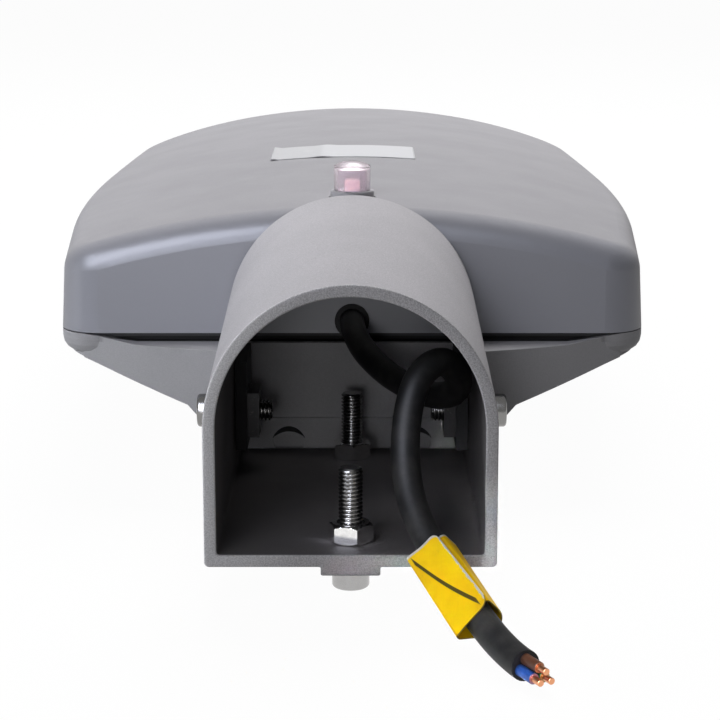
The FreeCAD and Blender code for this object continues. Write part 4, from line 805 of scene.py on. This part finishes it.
# %% [markdown]
# ## Cores of the cable
# The sheath ends with three cores, each a coloured insulation stripped at the tip. The copper could
# be a piece of its own, but one round profile with a step is enough, whose colour changes at that
# step. The mask is the distance along the core from the sheath's end.

# %% Core finish
last, previous = np.array(CABLE_ROUTE[-1]), np.array(CABLE_ROUTE[-2])
heading = (last - previous) / np.linalg.norm(last - previous)
level_side = np.array([-heading[1], heading[0], 0])
CORE_LENGTH, STRIPPED = 9 * MM, 3.0 * MM
COPPER = (0.83, 0.38, 0.20)


def core_finish(name, colour, stripe=None):
    """Insulation, perhaps with a stripe, up to the stripped tip, and copper after it.

    A distance from the sheath's end is (x - x0) x hx + (y - y0) x hy, for the heading or across it.
    """
    core = Finish(name)
    x, y, _ = core.parts()
    x, y = x - float(last[0]), y - float(last[1])
    lengthwise, sidewise = (x * float(h[0]) + y * float(h[1]) for h in (heading, level_side))
    bare = lengthwise.step(CORE_LENGTH - STRIPPED - 0.02 * MM, CORE_LENGTH - STRIPPED + 0.02 * MM)
    if stripe:
        colour = core.blend(sidewise.step(1.6 * MM, 1.9 * MM), colour, stripe)
    core.give(Base_Color=core.blend(bare, colour, COPPER), Metallic=bare,
              Roughness=0.42 - 0.12 * bare)
    return core


print("cores end", np.round(last + heading * CORE_LENGTH, 4).tolist())

# %% Cores
# Radius and place along the core, in millimetres: insulation, then copper.
CORE_PROFILE = np.array([(0, 0), (1.3, 0), (1.3, 5.9), (1.2, 6.0),
                         (0.8, 6.0), (0.8, 8.9), (0.7, 9.0), (0, 9.0)])
CORE_OFFSET = 2.6 * MM / math.sqrt(3) + 0.08 * MM
CORES = [("brown", 90, (0.10, 0.035, 0.015), None),
         ("blue", 210, (0.02, 0.10, 0.45), None),
         ("earth", 330, (0.06, 0.28, 0.03), (0.75, 0.60, 0.03))]

drawn = round_grid(CORE_PROFILE[:, :1] * MM, CORE_PROFILE[:, 1:] * MM, round_angles(24))
for name, bearing, colour, stripe in CORES:
    turn = math.radians(bearing)
    aside = math.cos(turn) * level_side + math.sin(turn) * np.array([0, 0, 1])
    start = last + CORE_OFFSET * aside
    core = make_piece("wire_" + name, [patch(carried(drawn, start, heading), wrap_columns=True)])
    dress(core, core_finish("core_" + name, colour, stripe), "core_" + name, "core_" + name)
print("core:", len(core.data.polygons), "faces")

# %% [markdown]
# ## Tag on the cable
# A yellow paper tag is folded round the cable and stuck to itself, so a second strip shows beside
# its broad face. It could be simulated as cloth, but its folds are known: the section is an open
# path with round bends, carried along the cable, and Solidify gives the paper its thickness.

# %% Tag section
TAG_LENGTH, TAG_SHARE = 26 * MM, 0.505
TAG_HALF, TAG_LEFT, TAG_DEPTH = 5.6 * MM, 5.3 * MM, 4.7 * MM
TAG_BESIDE = 0.9 * MM
TAG_FACING = np.array([-0.20, -0.90, 0.30])
FOLD = 3.3 * MM
TAG_COLUMNS, TAG_ROWS = 121, 61
# Places across and outwards and the radius of the bend, from the broad face's free edge on.
TAG_CORNERS = np.array([
    (-TAG_HALF + 1.2 * MM, TAG_DEPTH + 0.15 * MM, 0),
    (TAG_LEFT, 2.3 * MM, 0.6 * MM),
    (TAG_LEFT, 1.0 * MM, 0.6 * MM),
    (0.4 * MM, -TAG_DEPTH, FOLD),
    (-TAG_HALF, -TAG_DEPTH, FOLD),
    (-TAG_HALF, TAG_DEPTH - 0.7 * MM, 1.2 * MM),
    (-TAG_HALF + 2.6 * MM, TAG_DEPTH - 1.5 * MM, 0),
])

tag_start, tag_end = np.array(CABLE_ROUTE[-4]), np.array(CABLE_ROUTE[-3])
tag_along = (tag_end - tag_start) / np.linalg.norm(tag_end - tag_start)
tag_facing = TAG_FACING - tag_along * (TAG_FACING @ tag_along)
tag_facing /= np.linalg.norm(tag_facing)
tag_across = np.cross(tag_along, tag_facing)
tag_middle = tag_start + (tag_end - tag_start) * TAG_SHARE + tag_across * TAG_BESIDE

bends = rounded_path(TAG_CORNERS[:, :2], TAG_CORNERS[:, 2], steps=9)
run = np.r_[0, np.cumsum(np.linalg.norm(np.diff(bends, axis=0), axis=1))]
even = np.linspace(0, run[-1], TAG_COLUMNS)
sideways, outwards = np.interp(even, run, bends[:, 0]), np.interp(even, run, bends[:, 1])
print("tag, mm round the cable:", round(even[-1] / MM, 1))

# %% Tag sheet
PAPER = 0.3 * MM
TAG_CORNER = 2.2 * MM
FLARE = 0.25 * MM
# Shifts of the inner strip and the broad face's middle along the cable, and of the edge across it.
STRIP_UP, STRIP_DOWN, SAG, SLANT = 1.0 * MM, 1.5 * MM, 1.4 * MM, 1.3 * MM


def thicken(sheet, thickness):
    """Gives an open sheet a thickness, half on each side."""
    wall = sheet.modifiers.new("paper", "SOLIDIFY")
    wall.thickness = thickness
    wall.offset = 0


half_length = TAG_LENGTH / 2
place = np.linspace(-half_length, half_length, TAG_ROWS)[:, None]
down = 0.5 + place / TAG_LENGTH
share = np.linspace(0, 1, TAG_COLUMNS)[None, :]
inner_strip = smoothstep(share, 0.60, 0.80)
from_corner = np.clip(TAG_CORNER - even, 0, None)
trimmed = 1 - (TAG_CORNER - np.sqrt(TAG_CORNER ** 2 - from_corner ** 2)) / half_length
shift = (1 - down) * (STRIP_UP * inner_strip - SAG * np.exp(-((share - 0.3) / 0.12) ** 2))
lengthwise = place * trimmed + shift - STRIP_DOWN * down * inner_strip
crosswise = sideways - SLANT * down * (1 - smoothstep(share, 0.0, 0.2))
flared = outwards * (1 + FLARE * (place / half_length) ** 2 / TAG_DEPTH)
points = (tag_middle + lengthwise[..., None] * tag_along + crosswise[..., None] * tag_across
          + flared[..., None] * tag_facing)
tag = make_piece("folded_tag", [patch(points)], sharp_angle=60)

corner = np.empty(len(tag.data.loops), dtype=int)
tag.data.loops.foreach_get("vertex_index", corner)
uv = np.c_[corner % TAG_COLUMNS / (TAG_COLUMNS - 1), corner // TAG_COLUMNS / (TAG_ROWS - 1)]
tag.data.uv_layers.new(name="sheet").data.foreach_set("uv", uv.ravel())
thicken(tag, PAPER)
print("tag:", len(tag.data.polygons), "faces")

# %% [markdown]
# ## The tag's print
# The paper is white under its yellow print and shows along its worn edges, and one plain dark
# stripe crosses the broad face. Masks in the frame's coordinates would have to bend with the sheet,
# so they follow its own UV map: u runs round the cable and v along it.

# %% Tag paper
STRIPE_U, STRIPE_V, STRIPE_SLOPE = 0.265, 0.077, 3.9

paper = Finish("tag_paper", Specular_IOR_Level=0.12)
u, v, _ = paper.parts(paper.node("ShaderNodeUVMap", {"uv_map": "sheet"}, {}).outputs[0])
ragged = paper.noise(1.2 * MM, detail=4, roughness=0.7)
upper = (v - 0.012 * ragged).fall(0.010, 0.024)
lower = (1 - v).fall(0.002, 0.006)
free_edge = (u - 0.06 * (ragged - 0.42)).fall(0.003, 0.010)
edge = (1 - (1 - upper) * (1 - free_edge)) * (1 - lower)
stripe = (v - STRIPE_V - STRIPE_SLOPE * (STRIPE_U - u)).absolute().fall(0.044, 0.056)
stripe = stripe * u.step(0.046, 0.052) * u.fall(0.262, 0.268)
creases = paper.noise(5 * MM, detail=5, roughness=0.6)
dirt = paper.noise(1.8 * MM, detail=5, roughness=0.7).step(0.58, 0.80)
yellow = paper.blend(creases.step(0.3, 0.7), (1.0, 0.62, 0.0), (0.95, 0.56, 0.0))
yellow = paper.blend(0.30 * dirt, yellow, (0.35, 0.22, 0.03))
yellow = paper.blend(0.95 * stripe, yellow, (0.030, 0.018, 0.006))
yellow = paper.blend(lower, yellow, (0.30, 0.19, 0.02))
paper.give(Base_Color=paper.blend(edge, yellow, (0.74, 0.71, 0.68)), Roughness=0.38 + 0.2 * creases,
           Normal=paper.bump(creases, 0.15 * MM, 0.6))
dress(tag, paper, "tag_paper", "cable_tag")
print("paper:", len(paper.tree.nodes), "nodes")

# %% [markdown]
# ## Label on the cover
# A blank white label lies on the crown of the cover, and its left end has come loose. It could be
# wrapped onto the cover with a Shrinkwrap, but the crown's height is known: an arc across, carried
# along a flatter one. So the label is a sheet of that height, plus a lift at its left end and one
# low crease.

# %% Label sheet
CROWN_TOP = FLOOR + 71.2 * MM
CROWN_ACROSS = 284 * MM
CROWN_ALONG = 5200 * MM
CROWN_MIDDLE = MOUTH + 265.5 * MM
LABEL_PLACE = (-3.4 * MM, MOUTH + 235.5 * MM)
LABEL_SIZE = (49 * MM, 33 * MM)
LABEL_PAPER, LABEL_OVER = 0.2 * MM, 0.14 * MM
LOOSE_LIFT, LOOSE_SHARE = 0.5 * MM, 0.06
CREASE_LIFT, CREASE_PLACE, CREASE_SLANT, CREASE_SHARE = 0.3 * MM, 0.36, 0.03, 0.10


def crown(x, y):
    """Height of the cover: an arc across of the small radius, carried along one of the large."""
    fall = CROWN_ACROSS - np.sqrt(CROWN_ACROSS ** 2 - x ** 2)
    return CROWN_TOP - CROWN_ALONG + np.sqrt((CROWN_ALONG - fall) ** 2 - (y - CROWN_MIDDLE) ** 2)


def face_up(sheet):
    """Turns a flat open sheet so that its faces look up."""
    if sheet.data.polygons[0].normal.z < 0:
        sheet.data.flip_normals()


from_left, from_end = np.meshgrid(np.linspace(0, 1, 61), np.linspace(-0.5, 0.5, 41))
x = LABEL_PLACE[0] + (from_left - 0.5) * LABEL_SIZE[0]
y = LABEL_PLACE[1] + from_end * LABEL_SIZE[1]
loose = LOOSE_LIFT * smoothstep(LOOSE_SHARE - from_left, 0.0, LOOSE_SHARE)
from_crease = np.abs(from_left - CREASE_PLACE - CREASE_SLANT * from_end)
crease = CREASE_LIFT * smoothstep(CREASE_SHARE - from_crease, 0.0, CREASE_SHARE)
height = crown(x, y) + LABEL_OVER + loose + crease
label = make_piece("label_sheet", [patch(np.stack([x, y, height], axis=-1))])
face_up(label)
thicken(label, LABEL_PAPER)
print("label lift, mm:", round(float(loose.max()) / MM, 2))

# %% Label paper
SHADE_LEFT_X = (-12.0 * MM, -9.5 * MM)

blank = Finish("label_paper", Specular_IOR_Level=0.2)
fibres = blank.noise(1.2 * MM, detail=4)
grime = blank.noise(7 * MM, detail=6, roughness=0.65).step(0.50, 0.80)
sideways, _, _ = blank.parts()
# Painted shade: the label left of its crease is painted greyer.
shade_left_of_crease = sideways.fall(*SHADE_LEFT_X)
white = blank.blend(0.6 * shade_left_of_crease, (0.60, 0.60, 0.62), (0.48, 0.48, 0.49))
blank.give(Base_Color=blank.blend(0.4 * grime, white, (0.62, 0.62, 0.63)),
           Roughness=0.35 + 0.25 * fibres, Normal=blank.bump(fibres, 0.03 * MM, 0.5))
dress(label, blank, "label_paper", "blank_label")
print("label:", len(label.data.polygons), "faces")

# %% [markdown]
# ## Light sensor
# A small sensor looks up from the rear of the cover: a grooved base, a clear cap and the cell
# inside. The base and the cap could be cut from cylinders and a ball, but both are round, so each
# is one turned profile, with the fine grooves and the thick rim that its solid leaves out.

# %% Sensor base
SENSOR_Y = MOUTH + 131 * MM
SENSOR_Z = float(crown(0.0, SENSOR_Y)) - 0.3 * MM
# Radii and heights over the seat, in millimetres: a foot, four grooves and a bevelled top.
BASE_TOP = 2.4
GROOVE = [(6.5, 0), (6.5, 0.26), (6.25, 0.32), (6.25, 0.42)]
GROOVE_STARTS = [0.35, 0.83, 1.31, 1.79]
BASE_FOOT = [(0, -9.0), (4.0, -9.0), (4.0, 0.0), (6.3, 0.0)]
BASE_RIM = [(6.4, 2.28), (6.2, BASE_TOP), (0, BASE_TOP)]


def mottled(name, size, colours, gloss, detail=4, edges=None, **constants):
    """Finish that follows one noise: colour between two, roughness = gloss[0] + gloss[1] x noise.

    The colour takes the noise as it is, or its smooth step between two edges.
    """
    finish = Finish(name, **constants)
    tone = finish.noise(size, detail=detail)
    amount = tone.step(*edges) if edges else tone
    finish.give(Base_Color=finish.blend(amount, *colours), Roughness=gloss[0] + gloss[1] * tone)
    return finish


def sensor_part(name, profile):
    """Turned piece on the sensor's seat, from radii and heights in millimetres."""
    return make_piece(name, [turned(np.array(profile) * MM + [0, SENSOR_Z], 96, (0, SENSOR_Y, 0))])


grooves = [(radius, start + height) for start in GROOVE_STARTS for radius, height in GROOVE]
foot = sensor_part("sensor_foot", BASE_FOOT + grooves + BASE_RIM)
moulded = mottled("sensor_plastic", 0.6 * MM, ((0.40, 0.39, 0.41), (0.50, 0.49, 0.51)), (0.38, 0.2))
dress(foot, moulded, "sensor_plastic", "sensor_base")
paint(moulded, "sensor_nut")
print("sensor seat, mm:", round(SENSOR_Z / MM, 2))

# %% Sensor cap
CAP_RADIUS, CAP_TOP, CAP_RISE, CAP_SKIN = 5.4, BASE_TOP + 8.7, 1.4, 1.0


def cap_arc(inset):
    """Arc of a ball of radius (r^2 + rise^2) / (2 rise), from the wall of radius r to the axis."""
    reach = CAP_RADIUS - inset
    ball = (reach ** 2 + CAP_RISE ** 2) / (2 * CAP_RISE)
    angle = np.linspace(math.asin(reach / ball), 0, 15)
    return np.c_[ball * np.sin(angle), CAP_TOP - inset - ball + ball * np.cos(angle)]


rim = [(CAP_RADIUS - CAP_SKIN, BASE_TOP), (CAP_RADIUS, BASE_TOP), (CAP_RADIUS, BASE_TOP + 3)]
cap = sensor_part("sensor_cap", np.concatenate([rim, cap_arc(0), cap_arc(CAP_SKIN)[::-1], rim[:1]]))
clear = mottled("clear_plastic", 3 * MM, ((0.90, 0.82, 0.85), (0.80, 0.72, 0.78)), (0.18, 0.12),
                edges=(0.35, 0.65), Transmission_Weight=0.92, IOR=1.40)
dress(cap, clear, "clear_plastic", "sensor_dome")
cell = mottled("sensor_cell", 1.6 * MM, ((0.85, 0.62, 0.58), (0.70, 0.55, 0.56)), (0.25, 0.2),
               detail=3, edges=(0.35, 0.65))
paint(cell, "sensor_cell")
print("cap:", len(cap.data.polygons), "faces")

# %% [markdown]
# ## Seals, window and electrical gear
# The rest is hidden from the photograph's side: rubber seals, the clear lens plate over a white
# board with yellow light chips, and the driver, terminal block and leads inside. They could be made
# anew too, but their solids have the right shapes already, and an even plastic or rubber needs no
# more than one noise.

# %% Rubber seals
seal = mottled("seal_rubber", 3 * MM, ((0.018, 0.018, 0.019), (0.040, 0.040, 0.041)), (0.5, 0.25),
               detail=5)
seal.give(Normal=seal.bump(seal.noise(0.5 * MM), 0.02 * MM, 0.5))
paint(seal, "cover_gasket", "lens_seal")
print("seal:", len(seal.tree.nodes), "nodes")

# %% Light window
CHIP_SPACING = 8.75 * MM

lens = mottled("lens_plastic", 20 * MM, ((0.95, 0.96, 0.96), (0.90, 0.91, 0.91)), (0.03, 0.06),
               Transmission_Weight=1.0, IOR=1.49)
paint(lens, "lens_plate")

board = Finish("white_board")
across, _, _ = board.parts()
tracks = (across * (TURN / CHIP_SPACING)).sine().absolute().step(0.04, 0.10)
tone = board.noise(12 * MM, detail=3)
lacquer = board.blend(tone, (0.80, 0.80, 0.78), (0.74, 0.74, 0.72))
board.give(Base_Color=board.blend(tracks, (0.60, 0.60, 0.58), lacquer),
           Roughness=0.35 + 0.15 * tone)
paint(board, "led_board")

phosphor = mottled("phosphor", 1.5 * MM, ((0.85, 0.62, 0.08), (0.78, 0.52, 0.05)), (0.3, 0.2),
                   detail=3)
paint(phosphor, "led_chips")

coat, base = cast_finish("window_frame", (0.36, 0.36, 0.375), pebble=0.6 * MM, depth=0.02 * MM)
coat.give(Base_Color=base)
paint(coat, "lens_frame")
print("board:", len(board.tree.nodes), "nodes")

# %% Driver, terminals and leads
alloy = Finish("driver_alloy", Metallic=1.0)
lines = alloy.noise(1.2 * MM, detail=4, vector=alloy.stretched((1, 0.05, 1)))
alloy.give(Base_Color=alloy.blend(lines, (0.62, 0.63, 0.65), (0.74, 0.75, 0.76)),
           Roughness=0.32 + 0.2 * lines, Normal=alloy.bump(lines, 0.01 * MM, 0.4))
paint(alloy, "driver_case")

nylon = mottled("terminal_plastic", 5 * MM, ((0.62, 0.62, 0.58), (0.70, 0.70, 0.66)), (0.4, 0.15))
paint(nylon, "terminal_block")

for node, name, colour in (("driver_leads", "driver_wires", (0.05, 0.05, 0.055)),
                           ("led_lead", "led_wires", (0.45, 0.02, 0.02)),
                           ("sensor_lead", "sensor_wires", (0.70, 0.70, 0.68))):
    paint(mottled(name, 4 * MM, (colour, scaled(colour, 0.8)), (0.35, 0.15), detail=3), node)
print("painted nodes:", len([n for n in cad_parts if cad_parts[n].data.materials]))

# %% [markdown]
# ## Floor
# The photograph has a white ground with no edge. A backdrop could be lit until it is white, but
# that much light flattens the head. So the floor glows white to the camera and in reflections, and
# is otherwise a grey matt surface that keeps a faint shadow and throws little light up onto the
# underside.

# %% Floor
FLOOR_ENDS = (-5.0, 5.0)
GLOW = 0.97
corners = [[(x, y, 0) for x in FLOOR_ENDS] for y in FLOOR_ENDS]
floor = make_piece("floor", [patch(corners)], rides=False)
face_up(floor)
ground = Finish("floor_white", Roughness=0.9, Specular_IOR_Level=0.0)
direct = ground.ray("Is Camera Ray")
ground.give(Base_Color=ground.blend(direct, (0.16, 0.16, 0.16), (0.85, 0.85, 0.85)))
seen = direct + ground.ray("Is Glossy Ray") + ground.ray("Is Transmission Ray")
white = ground.node("ShaderNodeEmission", {}, {"Color": (1.0, 1.0, 1.0), "Strength": 1.0})
values = {0: GLOW * seen.step(0.0, 1.0), 1: ground.shader.outputs[0], 2: white.outputs[0]}
mixed = ground.node("ShaderNodeMixShader", {}, values)
ground.join(ground.tree.nodes["Material Output"].inputs["Surface"], mixed.outputs[0])
floor.data.materials.append(ground.material)
print("floor, m:", FLOOR_ENDS)

# %% [markdown]
# ## Light
# The photograph has soft light from above, a weaker and slightly blue one from the low left, and a
# bright reflection on the cover's ridge. One large lamp could give all three, but then none could
# be set alone. So the panel above and the left fill are hidden from reflections, and a bluish panel
# behind the camera shows only in them. Two small lamps reach the front and the mouth, and a narrow
# one the tag. The world is white to the camera, and weaker in reflections and on matt surfaces,
# because in full it washed out the cover.

# %% Lamps


def lamp(name, place, target, size, power, colour=(1, 1, 1), spread=180):
    """Square lamp, size in metres and power in watts, aimed at a target, spread in degrees."""
    light = bpy.data.lights.new(name, "AREA")
    light.size, light.energy, light.color, light.spread = size, power, colour, math.radians(spread)
    holder = bpy.data.objects.new(name, light)
    holder.location = place
    holder.rotation_euler = (Vector(target) - Vector(place)).to_track_quat("-Z", "Y").to_euler()
    bpy.context.scene.collection.objects.link(holder)
    return holder


HEAD = (-0.05, -0.05, 0.08)
sky = lamp("sky_panel", (0.12, 0.66, 1.30), (0.0, 0.0, 0.05), 1.1, 30.0)
left = lamp("left_fill", (-0.80, -0.30, 0.05), (-0.08, -0.10, 0.04), 0.3, 4.9, (0.92, 0.95, 1.0))
front = lamp("front_high", (-0.42, -1.05, 0.82), HEAD, 0.4, 2.5, (0.92, 0.94, 1.0))
mirrored = lamp("mirrored_panel", (-0.48, -0.97, 0.66), HEAD, 1.0, 31.0, (0.82, 0.86, 1.0))
mouth = lamp("mouth_fill", (-0.12, -1.20, 0.12), (0.0, -0.20, 0.03), 0.2, 0.8)
narrow = lamp("tag_fill", (-0.02, -0.95, 0.10), (0.025, -0.232, 0.004), 0.03, 0.0046, spread=3.4)
sky.visible_glossy = left.visible_glossy = False
mirrored.visible_diffuse = False
lamps = (sky, left, front, mirrored, mouth, narrow)
print("lamps, W:", [round(holder.data.energy, 4) for holder in lamps])

# %% World
TO_MATT, TO_REFLECTIONS = 0.05, 0.40

world = bpy.data.worlds.new("studio")
bpy.context.scene.world = world
world.use_nodes = True
air = Nodes(world.node_tree)
background = air.tree.nodes["Background"]
matt = 1 - (1 - TO_MATT) * air.ray("Is Diffuse Ray")
reflected = 1 - (1 - TO_REFLECTIONS) * air.ray("Is Glossy Ray")
air.join(background.inputs["Strength"], matt * reflected)
air.join(background.inputs["Color"], (1.0, 1.0, 1.0))
bpy.context.scene.view_settings.view_transform = "Standard"
print("view transform:", bpy.context.scene.view_settings.view_transform)
